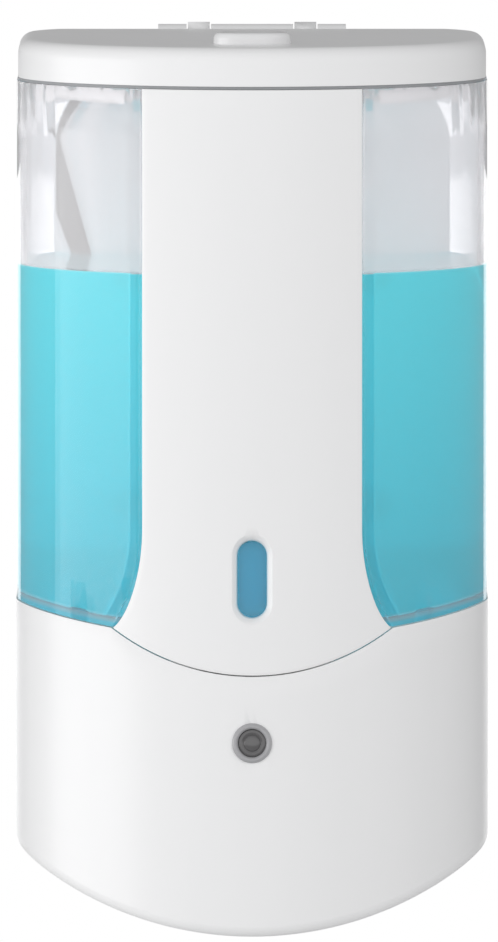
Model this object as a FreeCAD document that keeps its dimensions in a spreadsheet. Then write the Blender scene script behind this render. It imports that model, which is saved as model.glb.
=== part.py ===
# Wall mounted automatic soap dispenser, built as separate pieces in one frame.
# Frame: millimetres, +Z up, +X to the right seen from the front, the wall is the plane y = 0 and
# the object stands in front of it (towards -Y). The origin is the centre of the wall plate's back face.
import FreeCAD, Part
import math
import os
import re
import Sketcher

os.makedirs("parts", exist_ok=True)
doc = FreeCAD.newDocument("SoapDispenser")
Vector = FreeCAD.Vector
Rotation = FreeCAD.Rotation

# ---------------------------------------------------------------- driving sizes
SIZES = {
    # the whole body; heights are measured up from the lowest point of the housing
    "body_width": 107, "body_depth": 112, "body_height": 200, "bottom_level": -118,
    "rear_corner": 24, "wall_gap": 0.6, "shell_wall": 2.2, "seam_gap": 0.3, "split_depth": 8.7,
    "bottom_rise": 17.8, "bottom_round": 2.4,
    # tank, soap and front panel
    "tank_inset": 0.25, "tank_wall": 2.2, "tank_edge": 72.9, "tank_sag": 5.9, "soap_level": 149,
    "soap_film": 0.05, "strainer_hole": 0.6,
    "outlet_depth": 62.5, "tube_bore": 7, "tube_wall": 1.4, "nipple_wall": 1.3,
    "panel_width": 49.4, "panel_wall": 2.2, "panel_seam": 58.7, "panel_seam_radius": 53.8,
    "flare_radius": 41.5, "flare_height": 91.5,
    "window_height": 80.6, "window_width": 6.6, "window_length": 17.3, "window_bevel": 1.5,
    "window_fit": 0.1, "window_glass": 1.3,
    # lid, its hinge and its latch
    "lid_height": 8.7, "lid_inset": 0.5, "lid_round": 3.2, "lid_back": 10.2, "gasket_height": 0.7,
    "gasket_width": 1.4, "rest_gap": 0.05, "skirt_gap": 1.25, "skirt_wall": 1.4, "skirt_depth": 5,
    "hinge_width": 43, "hinge_depth": 5.2, "hinge_drop": 3, "barrel_radius": 3.9, "knuckle_radius": 4.4,
    "knuckle_width": 5, "knuckle_place": 12.2, "pin_radius": 1.25, "running_fit": 0.06, "side_gap": 0.3,
    "button_width": 17.4, "button_length": 13, "button_rise": 2.6, "button_travel": 2, "button_depth": 88,
    "button_fit": 0.25, "flange_lip": 1, "flange_height": 1.6, "stem_width": 4, "bolt_width": 10,
    "bolt_height": 2.5, "bolt_drop": 4.4, "bolt_fit": 0.2, "bolt_length": 29, "catch_depth": 1.5,
    "keeper_wall": 1.5, "slope_side": 30, "coil_wire": 0.6, "coil_radius": 4.3,
    # wall plate and its bayonet tongues
    "rib_wall": 1.6, "plate_width": 52, "plate_height": 84,
    "plate_wall": 3, "rib_width": 36, "rib_height": 72,
    "tongue_reach": 6, "tongue_wall": 2.2, "tongue_height": 14, "tongue_place": 29, "hang_fit": 0.4,
    "lift_travel": 16, "screw_pitch_x": 22, "screw_pitch_z": 52, "screw_hole": 2.25, "screw_head": 4.2,
    # batteries, their box and the door below them
    "cell_radius": 7.1, "cell_length": 50.2, "cell_gap": 1, "cell_clear": 0.9, "cell_fit": 0.5,
    "cell_nub": 1.4, "cell_nub_radius": 2.7,
    "contact_wall": 0.4, "contact_room": 3.6, "contact_half": 5.6, "contact_coil": 3.4,
    "contact_wire": 0.7, "film": 0.02, "grip_pitch": 3, "box_wall": 1.4, "box_back": 13, "box_foot": 9.2,
    "door_back": 13.4, "door_short": 0.8, "door_margin": 0.8, "door_gap": 0.3, "door_barrel": 1.1,
    "door_pin": 0.6,
    # gear pump and motor
    "pump_height": 43, "gear_module": 1, "gear_teeth": 12, "gear_width": 7, "gear_side": 0.1,
    "gear_tip": 0.12, "pump_back": 57, "pump_wall": 2.4, "pump_margin": 2.6, "shaft_radius": 1.2,
    "motor_radius": 12.2, "motor_length": 30, "motor_gap": 1.2, "motor_nose": 3.2,
    "screw_margin": 2.1, "small_head": 1.7, "small_head_height": 1.3, "small_shank": 0.8, "small_length": 6.9,
    "seal_height": 1.4, "seal_wall": 1.6, "port_drop": 4.6,
    # nozzle, sensor, indicator and switch
    "nozzle_depth": 90, "nozzle_radius": 5.2, "nozzle_flange": 7.4, "nozzle_drop": 1, "nozzle_top": 19,
    "nozzle_bore": 2, "hole_fit": 0.2, "eye_height": 43.8, "eye_radius": 4.5, "eye_stem": 3.8,
    "eye_lens": 3.1, "eye_proud": 0.7, "eye_length": 6, "sensor_depth": 102.2, "sensor_width": 15,
    "sensor_length": 5.6, "sensor_board": 9.4, "board_wall": 1.2, "switch_depth": 76.5,
    "switch_width": 13, "switch_length": 6, "switch_height": 5.2, "knob_width": 4.4, "knob_length": 3,
    "switch_travel": 3, "knob_recess": 0.5, "switch_seat": 3.2,
    # deck between tank and works, posts, screws and leads
    "deck_level": 60, "deck_wall": 2, "deck_inset": 2.7, "hanger_x": 12,
    "post_radius": 3.6, "post_front_x": 34,
    "post_front_y": 88, "post_rear_x": 44.5, "post_rear_y": 27, "boss_length": 13, "boss_low": 31,
    "boss_high": 51, "boss_x": 36, "screw_shank": 1.2, "screw_length": 9, "pan_radius": 2.6,
    "pan_height": 1.5, "main_board_x": 27, "main_board_wall": 1.6,
    "board_back": 24, "board_length": 48, "board_foot": 30, "board_height": 27, "lead_radius": 0.65,
}

sheet = doc.addObject("Spreadsheet::Sheet", "Sizes")
for row, (alias, size) in enumerate(SIZES.items(), start=1):
    sheet.set("A%d" % row, alias)
    sheet.set("B%d" % row, str(size))
    sheet.setAlias("B%d" % row, alias)
doc.recompute()


# ---------------------------------------------------------------- builders
def bound(formula):
    """A formula in size names, as an expression on the sheet."""
    return re.sub(r"[a-z][a-z_]+", lambda m: "Sizes." + m.group(0) if m.group(0) in SIZES else m.group(0),
                  formula)


def number(formula):
    """The value of a formula in size names, in millimetres."""
    return float(sheet.evalExpression(bound(formula)))


def bind(item, **formulas):
    for name, formula in formulas.items():
        item.setExpression(name, bound(formula))
    return item


def place(item, x="0", y="0", z="0", turn=None):
    if turn is not None:
        item.Placement = FreeCAD.Placement(Vector(), turn)
    for axis, formula in zip("xyz", (x, y, z)):
        item.setExpression("Placement.Base." + axis, bound(formula))
    return item


def up(formula):
    """A height over the lowest point of the housing, as a Z in the frame."""
    return "(bottom_level + %s)" % formula


def box(xs, ys, zs):
    item = doc.addObject("Part::Box", "Block")
    spans = ["(%s) - (%s)" % (high, low) for low, high in (xs, ys, zs)]
    bind(item, Length=spans[0], Width=spans[1], Height=spans[2])
    return place(item, xs[0], ys[0], zs[0])


def across(half):
    """A span centred on the plane x = 0."""
    return ("-(%s)" % half, half)


ALONG = {"X": Rotation(Vector(0, 1, 0), 90), "Y": Rotation(Vector(1, 0, 0), -90), "Z": Rotation()}


def rod(axis, x, y, z, radius, length):
    """A round bar that starts at a point and runs the given length towards +axis."""
    item = doc.addObject("Part::Cylinder", "Rod")
    bind(item, Radius=radius, Height=length)
    return place(item, x, y, z, ALONG[axis])


def joined(*items):
    item = doc.addObject("Part::MultiFuse", "Joined")
    item.Shapes = list(items)
    item.Refine = True
    return item


def shared(*items):
    item = doc.addObject("Part::MultiCommon", "Shared")
    item.Shapes = list(items)
    item.Refine = True
    return item


def cut(base, *tools):
    item = doc.addObject("Part::Cut", "Trimmed")
    item.Base = base
    item.Tool = tools[0] if len(tools) == 1 else joined(*tools)
    item.Refine = True
    return item


def plane_of(body, role):
    return [feature for feature in body.Origin.OriginFeatures if feature.Role == role][0]


def sketch_on(body, role):
    sketch = body.newObject("Sketcher::SketchObject", "Outline")
    sketch.AttachmentSupport = (plane_of(body, role), [""])
    sketch.MapMode = "FlatFace"
    return sketch


def oval_block(inset, low, high):
    """A block with the plan outline of the body: flat back, round rear corners, half-round front."""
    body = doc.addObject("PartDesign::Body", "OvalBlock")
    sketch = sketch_on(body, "XY_Plane")
    half = number("body_width / 2 - (%s)" % inset)
    corner = number("rear_corner - (%s)" % inset)
    back = -number("wall_gap + (%s)" % inset)
    centre = -number("body_depth - body_width / 2")
    lift = Vector(0, 0, 1)

    def arc(x, y, radius, start, end):
        circle = Part.Circle(Vector(x, y, 0), lift, radius)
        return Part.ArcOfCircle(circle, math.radians(start), math.radians(end))

    def line(x1, y1, x2, y2):
        return Part.LineSegment(Vector(x1, y1, 0), Vector(x2, y2, 0))

    flat = half - corner
    front, right, right_corner, rear, left_corner, left = sketch.addGeometry([
        arc(0, centre, half, 180, 360),
        line(half, centre, half, back - corner),
        arc(flat, back - corner, corner, 0, 90),
        line(flat, back, -flat, back),
        arc(-flat, back - corner, corner, 90, 180),
        line(-half, back - corner, -half, centre)], False)
    loop = [front, right, right_corner, rear, left_corner, left]
    for one, other in zip(loop, loop[1:] + loop[:1]):
        sketch.addConstraint(Sketcher.Constraint("Tangent", one, 2, other, 1))
    sketch.addConstraint(Sketcher.Constraint("Vertical", right))
    sketch.addConstraint(Sketcher.Constraint("Vertical", left))
    sketch.addConstraint(Sketcher.Constraint("Horizontal", rear))
    sketch.addConstraint(Sketcher.Constraint("PointOnObject", front, 3, -2))
    sketch.addConstraint(Sketcher.Constraint("Equal", right_corner, left_corner))
    driven = {
        "front_radius": (Sketcher.Constraint("Radius", front, half), "body_width / 2 - (%s)" % inset),
        "corner_radius": (Sketcher.Constraint("Radius", right_corner, corner), "rear_corner - (%s)" % inset),
        "front_centre": (Sketcher.Constraint("DistanceY", front, 3, -1, 1, -centre),
                         "body_depth - body_width / 2"),
        "back_face": (Sketcher.Constraint("DistanceY", rear, 1, -1, 1, -back), "wall_gap + (%s)" % inset),
    }
    for name, (constraint, formula) in driven.items():
        sketch.renameConstraint(sketch.addConstraint(constraint), name)
        sketch.setExpression("Constraints." + name, bound(formula))
    pad = body.newObject("PartDesign::Pad", "Rise")
    pad.Profile = sketch
    bind(pad, Length="(%s) - (%s)" % (high, low))
    return place(body, z=low)


def turned(points, x="0", y="0", z="0", turn=None):
    """A piece turned about its own Z axis from an outline of (radius, height) formulas."""
    body = doc.addObject("PartDesign::Body", "Turned")
    sketch = sketch_on(body, "XZ_Plane")
    spots = [Vector(number(radius), number(height), 0) for radius, height in points]
    sides = [sketch.addGeometry(Part.LineSegment(start, end), False)
             for start, end in zip(spots, spots[1:] + spots[:1])]
    for index, (radius, height) in enumerate(points):
        side = sides[index]
        sketch.addConstraint(Sketcher.Constraint("Coincident", sides[index - 1], 2, side, 1))
        for kind, formula, axis in (("DistanceX", radius, -2), ("DistanceY", height, -1)):
            size = number(formula)
            if abs(size) < 1e-9:
                sketch.addConstraint(Sketcher.Constraint("PointOnObject", side, 1, axis))
                continue
            name = "%s_%d" % (kind.lower(), index)
            constraint = Sketcher.Constraint(kind, -1, 1, side, 1, size)
            sketch.renameConstraint(sketch.addConstraint(constraint), name)
            sketch.setExpression("Constraints." + name, bound(formula))
    spin = body.newObject("PartDesign::Revolution", "Turn")
    spin.Profile = sketch
    spin.ReferenceAxis = (sketch, ["V_Axis"])
    spin.Angle = 360
    return place(body, x, y, z, turn)


def made(shape):
    """A piece whose shape neither sketches nor primitives give, set from the sheet's sizes."""
    item = doc.addObject("Part::Feature", "Made")
    item.Shape = shape
    return item


def path_tube(points, radius, bend, hollow=0):
    """A round tube along straight runs joined by tangent arcs."""
    edges = []
    start = points[0]
    for before, corner, after in zip(points, points[1:], points[2:]):
        to_before = (before - corner).normalize()
        to_after = (after - corner).normalize()
        turn = math.pi - to_before.getAngle(to_after)
        room = 0.45 * min((before - corner).Length, (after - corner).Length)
        trim = min(bend * math.tan(turn / 2), room)
        radius_here = trim / math.tan(turn / 2)
        first = corner + to_before * trim
        last = corner + to_after * trim
        middle_way = (to_before + to_after).normalize()
        middle = corner + middle_way * (radius_here / math.cos(turn / 2) - radius_here)
        edges.append(Part.LineSegment(start, first).toShape())
        edges.append(Part.Arc(first, middle, last).toShape())
        start = last
    edges.append(Part.LineSegment(start, points[-1]).toShape())
    spine = Part.Wire(edges)
    heading = points[1] - points[0]

    def swept(size):
        ring = Part.Wire(Part.makeCircle(size, points[0], heading))
        return spine.makePipeShell([ring], True, False)

    solid = swept(radius)
    expected = math.pi * radius ** 2 * spine.Length
    assert abs(solid.Volume - expected) < 0.01 * expected, "a tube has the wrong volume"
    return solid.cut(swept(hollow)) if hollow else solid


def coil(radius, wire, length, turns, base, axis="Z"):
    """A round-wire compression spring that starts at a point and runs along +axis."""
    helix = Part.makeHelix((length - wire) / turns, length - wire, radius)
    ring = Part.Wire(Part.makeCircle(wire / 2, Vector(radius, 0, 0), Vector(0, 1, 0)))
    solid = Part.Wire(helix.Edges).makePipeShell([ring], True, True)
    solid.translate(Vector(0, 0, wire / 2))
    solid.Placement = FreeCAD.Placement(base, ALONG[axis]).multiply(solid.Placement)
    return solid


def pan_screw(tip_way, head_spot):
    """A pan head screw with a cross recess: its head sits on head_spot, its shank runs along tip_way."""
    head = Part.makeCylinder(number("pan_radius"), number("pan_height"), head_spot, tip_way * -1)
    rim = [edge for edge in head.Edges if edge.Curve.TypeId == "Part::GeomCircle"
           and (edge.Curve.Center - head_spot).Length > number("pan_height") / 2]
    head = head.makeFillet(number("pan_height") / 3, rim)
    shank = Part.makeCylinder(number("screw_shank"), number("screw_length"), head_spot, tip_way)
    screw = head.fuse(shank)
    arm = number("pan_radius") * 1.1
    slot = number("pan_radius") / 4
    for long_x, long_y in ((arm, slot), (slot, arm)):
        blade = Part.makeBox(long_x, long_y, number("pan_height"), Vector(-long_x / 2, -long_y / 2, 0))
        blade.Placement = FreeCAD.Placement(head_spot - tip_way * (number("pan_height") / 2),
                                            Rotation(Vector(0, 0, 1), tip_way * -1))
        screw = screw.cut(blade)
    return screw


pieces = []


def piece(label, item):
    item.Label = label
    pieces.append(item)
    return item


# ---------------------------------------------------------------- shared outlines
WIDE = across("body_width")
DEEP = ("-(body_depth + 20)", "20")
LID_TOP = up("body_height")
LID_FOOT = up("(body_height - lid_height)")
RIM = up("(body_height - lid_height - gasket_height - rest_gap)")
BOTTOM_ARC = "((body_width ^ 2 / 4 + bottom_rise ^ 2) / (2 * bottom_rise))"
TANK_ARC = "((body_width ^ 2 / 4 + tank_sag ^ 2) / (2 * tank_sag))"
TANK_LOW = "(tank_edge - tank_sag)"
BOLT_LOW = "((%s) - bolt_drop)" % LID_FOOT
BOLT_TOP = "(%s + bolt_height)" % BOLT_LOW
CELL_PITCH = "(2 * cell_radius + cell_gap)"
CELL_HALF = "(1.5 * %s + cell_radius + cell_fit)" % CELL_PITCH
CELL_ROOM = "(cell_length + contact_room + 2 * contact_wall + 0.4)"
DOOR_HALF = "(%s + door_margin)" % CELL_HALF
DOOR_LENGTH = "(%s - door_short)" % CELL_ROOM


def y_rod(x, z, radius):
    """A long round bar along Y, used to shape arcs seen from the front."""
    return rod("Y", x, DEEP[0], z, radius, "body_depth + 40")


def in_front_of(depth):
    return box(WIDE, (DEEP[0], "-(%s)" % depth), (up("-30"), up("(body_height + 30)")))


def below_bottom(offset):
    """What lies under the arched bottom, or under a surface a little above it."""
    slab = box(WIDE, DEEP, (up("-20"), up(BOTTOM_ARC)))
    return cut(slab, y_rod("0", up(BOTTOM_ARC), "%s - (%s)" % (BOTTOM_ARC, offset)))


def above_tank_seam(offset):
    return y_rod("0", up("(%s + %s)" % (TANK_LOW, TANK_ARC)), "%s - (%s)" % (TANK_ARC, offset))


def above_panel_seam(offset):
    seam = y_rod("0", up("(panel_seam + panel_seam_radius)"), "panel_seam_radius - (%s)" % offset)
    rest = box(across("panel_seam_radius - (%s)" % offset), DEEP,
               (up("(panel_seam + panel_seam_radius)"), up("(body_height + 10)")))
    return joined(seam, rest)


def panel_prism(grow):
    """The front panel's outline seen from the front: a strip that flares towards its foot."""
    strip = box(across("panel_width / 2 + %s" % grow), DEEP,
                (up("(panel_seam - 10)"), up("(body_height + 5)")))
    foot = box(across("panel_width / 2 + flare_radius"), DEEP, (up("(panel_seam - 10)"), up("flare_height")))
    hollows = [y_rod(side + "(panel_width / 2 + flare_radius)", up("flare_height"),
                     "flare_radius - (%s)" % grow) for side in ("", "-")]
    return joined(strip, cut(foot, *hollows))


# ---------------------------------------------------------------- wall plate
# A plate screwed to the wall. Its rib carries two pairs of tongues that the dispenser hangs on.
plate = box(across("plate_width / 2"), ("-plate_wall", "0"), across("plate_height / 2"))
rib_face = "(2 * plate_wall)"
rib = box(across("rib_width / 2"), ("-" + rib_face, "0"), across("rib_height / 2"))
tongues = [box(across("rib_width / 2 + tongue_reach"), ("-(%s + tongue_wall)" % rib_face, "-" + rib_face),
               (side + "tongue_place - tongue_height / 2", side + "tongue_place + tongue_height / 2"))
           for side in ("", "-")]
screw_spots = [(sx + "screw_pitch_x / 2", sz + "screw_pitch_z / 2") for sx in ("", "-") for sz in ("", "-")]
holes = [rod("Y", x, "-20", z, "screw_hole", "40") for x, z in screw_spots]
sinks = [rod("Y", x, "-20", z, "screw_head", "20 - plate_wall") for x, z in screw_spots]
piece("wall_plate", cut(joined(plate, rib, *tongues), *holes, *sinks))

# ---------------------------------------------------------------- rear housing
# The back of the dispenser, with the well that drops over the wall plate and the lid's hinge block.
slab_zone = box(WIDE, ("-split_depth", "20"), (up("-30"), up("(body_height + 30)")))
rear_outer = cut(shared(oval_block("0", up("0"), RIM), slab_zone), below_bottom("0"))
rear_hollow = cut(shared(oval_block("shell_wall", up("0"), "(%s) - shell_wall" % RIM),
                         in_front_of("wall_gap + shell_wall")), below_bottom("shell_wall"))
well_back = "(plate_wall + hang_fit)"
well_half = "(plate_width / 2 + 1)"
well_low = "(plate_height / 2 + lift_travel + 1)"
well_high = "(plate_height / 2 + 1)"
beside_well = "(%s + shell_wall)" % well_half
side_blocks = [box((beside_well, "body_width / 2") if side > 0 else ("-body_width / 2", "-" + beside_well),
                   ("-split_depth", "0"), (up("deck_level"), RIM)) for side in (1, -1)]
rear_hollow = cut(rear_hollow, *side_blocks)
pocket_low = up("(deck_level + shell_wall)")
pocket_form = shared(oval_block("shell_wall", pocket_low, "(%s) - shell_wall" % RIM),
                     in_front_of("wall_gap - 1"))
pocket_rise = "((%s) - shell_wall - %s)" % (RIM, pocket_low)
pockets = []
for side in (1, -1):
    for index in range(4):
        span = ("%s + shell_wall" % beside_well, "body_width / 2")
        cell = box(span if side > 0 else ("-" + span[1], "-(%s)" % span[0]),
                   ("-(split_depth - shell_wall)", "1"),
                   ("%s + %d * %s / 4 + rib_wall / 2" % (pocket_low, index, pocket_rise),
                    "%s + %d * %s / 4 - rib_wall / 2" % (pocket_low, index + 1, pocket_rise)))
        pockets.append(shared(cell, pocket_form))
well_block = box(across("%s + shell_wall" % well_half), ("-(%s + shell_wall)" % well_back, "-wall_gap"),
                 ("-(%s + shell_wall)" % well_low, "%s + shell_wall" % well_high))
well = box(across(well_half), ("-" + well_back, "5"), ("-" + well_low, well_high))
keyway = box(across("rib_width / 2 + hang_fit"), ("-split_depth", "0"),
             ("-(rib_height / 2 + lift_travel + hang_fit)", "rib_height / 2 + rest_gap"))
notches = [box(across("rib_width / 2 + tongue_reach + hang_fit"), ("-split_depth", "0"),
               (side + "tongue_place - tongue_height / 2 - lift_travel - hang_fit",
                side + "tongue_place + tongue_height / 2 - lift_travel + hang_fit")) for side in ("", "-")]
HINGE_Z = up("(body_height - hinge_drop)")
barrel = rod("X", "-hinge_width / 2", "-hinge_depth", HINGE_Z, "barrel_radius", "hinge_width")
hinge_web = box(across("hinge_width / 2"), ("-split_depth", "-(hinge_depth - barrel_radius)"),
                ("(%s) - shell_wall" % RIM, HINGE_Z))
knuckle_rooms = [box(("%sknuckle_place - knuckle_width / 2 - side_gap" % side,
                      "%sknuckle_place + knuckle_width / 2 + side_gap" % side), ("-20", "20"),
                     ("(%s) - knuckle_radius - side_gap" % HINGE_Z, up("(body_height + 10)")))
                 for side in ("", "-")]
hinge_bore = rod("X", "-hinge_width", "-hinge_depth", HINGE_Z, "pin_radius + running_fit", "2 * hinge_width")
boss_spots = [(side + "boss_x", up(level)) for side in ("", "-") for level in ("boss_low", "boss_high")]
boss_holes = [rod("Y", x, "-20", z, "screw_shank + hole_fit", "40") for x, z in boss_spots]
boss_sinks = [rod("Y", x, "-(wall_gap + shell_wall + pan_height)", z, "pan_radius + hole_fit", "20")
              for x, z in boss_spots]
boss_seats = [rod("Y", x, "-split_depth", z, "pan_radius + shell_wall", "split_depth - wall_gap - 1.6")
              for x, z in boss_spots]
rear_body = joined(cut(rear_outer, rear_hollow, *pockets), well_block, barrel, hinge_web,
                   *[shared(seat, rear_outer) for seat in boss_seats])
piece("rear_housing", cut(rear_body, well, keyway, *notches, *knuckle_rooms, hinge_bore,
                          *boss_holes, *boss_sinks))
piece("hinge_pin", rod("X", "-hinge_width / 2 + side_gap", "-hinge_depth", HINGE_Z, "pin_radius",
                       "hinge_width - 2 * side_gap"))

# ---------------------------------------------------------------- tank and soap
# A clear moulded tank with a hull-shaped floor, stepped in behind the front panel.
TANK_BACK = "(split_depth + seam_gap)"
PANEL_STEP = "(panel_wall + seam_gap)"


def tank_form(inset, back, lift, grow, step, top):
    plain = shared(oval_block(inset, up("40"), top), in_front_of(back), above_tank_seam(lift))
    strip = cut(panel_prism(grow), oval_block(step, up("30"), up("(body_height + 10)")))
    return cut(plain, strip)


tank_outer = tank_form("tank_inset", TANK_BACK, "seam_gap", "seam_gap", PANEL_STEP, RIM)
tank_inner = tank_form("tank_inset + tank_wall", "%s + tank_wall" % TANK_BACK, "seam_gap + tank_wall",
                       "seam_gap + tank_wall", "%s + tank_wall" % PANEL_STEP, up("(body_height + 5)"))
spigot_foot = "(deck_level - 2)"
spigot = rod("Z", "0", "-outlet_depth", up(spigot_foot), "tube_bore / 2",
             "%s - %s + 1" % (TANK_LOW, spigot_foot))
outlet = rod("Z", "0", "-outlet_depth", up("(deck_level - 10)"), "tube_bore / 2 - nipple_wall", "40")
catch = box(across("bolt_width / 2 + bolt_fit"),
            ("-(body_depth - %s - tank_wall + catch_depth)" % PANEL_STEP, "-(body_depth - 12)"),
            ("%s - bolt_fit" % BOLT_LOW, up("(body_height + 5)")))
piece("tank", cut(joined(cut(tank_outer, tank_inner), spigot), outlet, catch))
soap = tank_form("tank_inset + tank_wall + soap_film", "%s + tank_wall + soap_film" % TANK_BACK,
                 "seam_gap + tank_wall + soap_film", "seam_gap + tank_wall + soap_film",
                 "%s + tank_wall + soap_film" % PANEL_STEP, up("soap_level"))
strainer_radius = "(tube_bore / 2 + 2)"
strainer_top = "(%s + seam_gap + tank_wall + 2)" % TANK_LOW
strainer_room = rod("Z", "0", "-outlet_depth", up("(deck_level - 10)"), strainer_radius + " + soap_film",
                    "%s + soap_film - deck_level + 10" % strainer_top)
piece("liquid_soap", cut(soap, strainer_room))
# the strainer is a shallow cap with a ring of round holes over the tank's outlet
strainer_foot = "(%s + seam_gap + tank_wall + 2 * soap_film)" % TANK_LOW
strainer_cap = rod("Z", "0", "-outlet_depth", up(strainer_foot), strainer_radius,
                   "%s - %s" % (strainer_top, strainer_foot))
strainer_core = rod("Z", "0", "-outlet_depth", up("deck_level"), strainer_radius + " - 1",
                    "%s - 0.7 - deck_level" % strainer_top)
strainer_ring = "(strainer_hole * 5)"
strainer_holes = []
for step in range(6):
    turn = math.radians(60 * step)
    strainer_holes.append(rod("Z", "%s * %.4f" % (strainer_ring, math.cos(turn)),
                              "%s * %.4f - outlet_depth" % (strainer_ring, math.sin(turn)),
                              up("deck_level"), "strainer_hole", "30"))
piece("outlet_strainer", cut(strainer_cap, strainer_core, *strainer_holes))

# ---------------------------------------------------------------- front panel and sight window
panel_shell = cut(oval_block("0", up("40"), RIM), oval_block("panel_wall", up("30"), up("(body_height + 5)")))
panel_blank = shared(panel_prism("0"), panel_shell, above_panel_seam("seam_gap"),
                     in_front_of("body_depth - body_width / 2"))
WINDOW_Z = up("window_height")


def obround_y(width, length, start, depth):
    """An upright slot shape along Y, from start towards +Y."""
    rise = "(%s - %s) / 2" % (length, width)
    ends = [rod("Y", "0", start, "%s %s %s" % (WINDOW_Z, sign, rise), width + " / 2", depth) for sign in "+-"]
    middle = box(across(width + " / 2"), (start, "%s + %s" % (start, depth)),
                 ("%s - %s" % (WINDOW_Z, rise), "%s + %s" % (WINDOW_Z, rise)))
    return joined(middle, *ends)


bevel_start = "-(body_depth + 0.1)"
bevel_ends = []
for sign in "+-":
    cone = doc.addObject("Part::Cone", "Bevel")
    bind(cone, Radius1="window_width / 2 + window_bevel + 0.1", Radius2="window_width / 2",
         Height="window_bevel + 0.1")
    bevel_ends.append(place(cone, "0", bevel_start,
                            "%s %s (window_length - window_width) / 2" % (WINDOW_Z, sign), ALONG["Y"]))
bevel_middle = doc.addObject("Part::Wedge", "Bevel")
bevel_half = "(window_width / 2 + window_bevel + 0.1)"
straight_half = "(window_length - window_width) / 2"
bind(bevel_middle, Xmin="-" + bevel_half, Xmax=bevel_half, X2min="-window_width / 2",
     X2max="window_width / 2", Ymin="0", Ymax="window_bevel + 0.1", Zmin="-" + straight_half,
     Zmax=straight_half, Z2min="-" + straight_half, Z2max=straight_half)
place(bevel_middle, "0", bevel_start, WINDOW_Z)
piece("front_panel", cut(panel_blank, obround_y("window_width", "window_length", "-(body_depth + 5)", "10"),
                         bevel_middle, *bevel_ends))
piece("sight_window", obround_y("(window_width - 2 * window_fit)", "(window_length - 2 * window_fit)",
                                "-(body_depth - panel_wall + window_glass)", "window_glass"))

# ---------------------------------------------------------------- lower housing
# A moulded shell: side walls, round front and arched bottom, open at the back and at the top.
low_blank = cut(shared(oval_block("0", up("0"), up("(tank_edge + 2)")), in_front_of(TANK_BACK)),
                below_bottom("0"), above_tank_seam("0"), above_panel_seam("0"))
doc.recompute()
round_edges = []
for index, edge in enumerate(low_blank.Shape.Edges, start=1):
    spots = [edge.valueAt(edge.FirstParameter + share * (edge.LastParameter - edge.FirstParameter))
             for share in (0.1, 0.5, 0.9)]
    low_enough = all(spot.z < number(up("(bottom_rise + 1)")) for spot in spots)
    off_back = any(spot.y < -number(TANK_BACK) - 0.01 for spot in spots)
    across_floor = abs(spots[0].z - spots[2].z) < 0.01 and abs(spots[0].y - spots[2].y) > 1 and \
        abs(spots[1].x) < number("body_width / 2") - 1 and edge.Curve.TypeId == "Part::GeomLine"
    if low_enough and off_back and not across_floor:
        round_edges.append((index, number("bottom_round"), number("bottom_round")))
rounded = doc.addObject("Part::Fillet", "RoundedFoot")
rounded.Base = low_blank
rounded.Edges = round_edges
low_hollow = cut(shared(oval_block("shell_wall", up("0"), up("(tank_edge + 5)")),
                        in_front_of("split_depth - 5")), below_bottom("shell_wall"))
posts = []
post_bores = []
post_spots = [(side + "post_%s_x" % row, "-post_%s_y" % row)
              for side in ("", "-") for row in ("front", "rear")]
for x, y in post_spots:
    posts.append(cut(rod("Z", x, y, up("1"), "post_radius", "deck_level - 1"), below_bottom("1")))
    post_bores.append(rod("Z", x, y, up("(deck_level - screw_length - 1)"), "screw_shank", "30"))
bosses = []
boss_bores = []
for x, z in boss_spots:
    bosses.append(rod("Y", x, "-(%s + boss_length)" % TANK_BACK, z, "post_radius", "boss_length"))
    boss_bores.append(rod("Y", x, "-(%s + boss_length - 2)" % TANK_BACK, z, "screw_shank", "boss_length"))
ribs = [box((("boss_x", "body_width / 2") if side == "" else ("-body_width / 2", "-boss_x")),
            ("-(%s + boss_length)" % TANK_BACK, "-" + TANK_BACK),
            (up("%s - 1" % level), up("%s + 1" % level)))
        for side in ("", "-") for level in ("boss_low", "boss_high")]
ribs = [shared(rib, oval_block("1", up("0"), up("deck_level"))) for rib in ribs]
bosses = [shared(boss, oval_block("1", up("0"), up("tank_edge"))) for boss in bosses]
# the battery door swings on a bar that lies in the thickness of the arched bottom
door_axis_x = DOOR_HALF
door_axis_z = up("(%s - sqrt((%s - shell_wall / 2) ^ 2 - %s ^ 2))" % (BOTTOM_ARC, BOTTOM_ARC, DOOR_HALF))
door_low = "-(door_back + %s)" % DOOR_LENGTH
door_room = box(("-(%s + door_gap)" % DOOR_HALF, door_axis_x),
                ("%s - door_gap" % door_low, "-(door_back - door_gap)"),
                (up("-5"), up("(box_foot - 0.1)")))
door_relief = rod("Y", door_axis_x, "%s - door_gap" % door_low, door_axis_z, "door_barrel + 0.9",
                  DOOR_LENGTH + " + 2 * door_gap")
pin_holes = rod("Y", door_axis_x, "%s - 2.2" % door_low, door_axis_z, "door_pin + running_fit",
                DOOR_LENGTH + " + 4.4")
nozzle_hole = rod("Z", "0", "-nozzle_depth", up("-5"), "nozzle_radius + hole_fit", "20")
eye_hole = rod("Y", "0", "-(body_depth + 5)", up("eye_height"), "eye_stem + hole_fit", "20")


def obround_z(width, length, x, y, low, high):
    """A flat slot shape along X, between two heights."""
    reach = "((%s - %s) / 2)" % (width, length)
    ends = [rod("Z", "%s %s %s" % (x, sign, reach), y, low, length + " / 2", "(%s) - (%s)" % (high, low))
            for sign in "+-"]
    middle = box(("%s - %s" % (x, reach), "%s + %s" % (x, reach)),
                 ("%s - %s / 2" % (y, length), "%s + %s / 2" % (y, length)), (low, high))
    return joined(middle, *ends)


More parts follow.
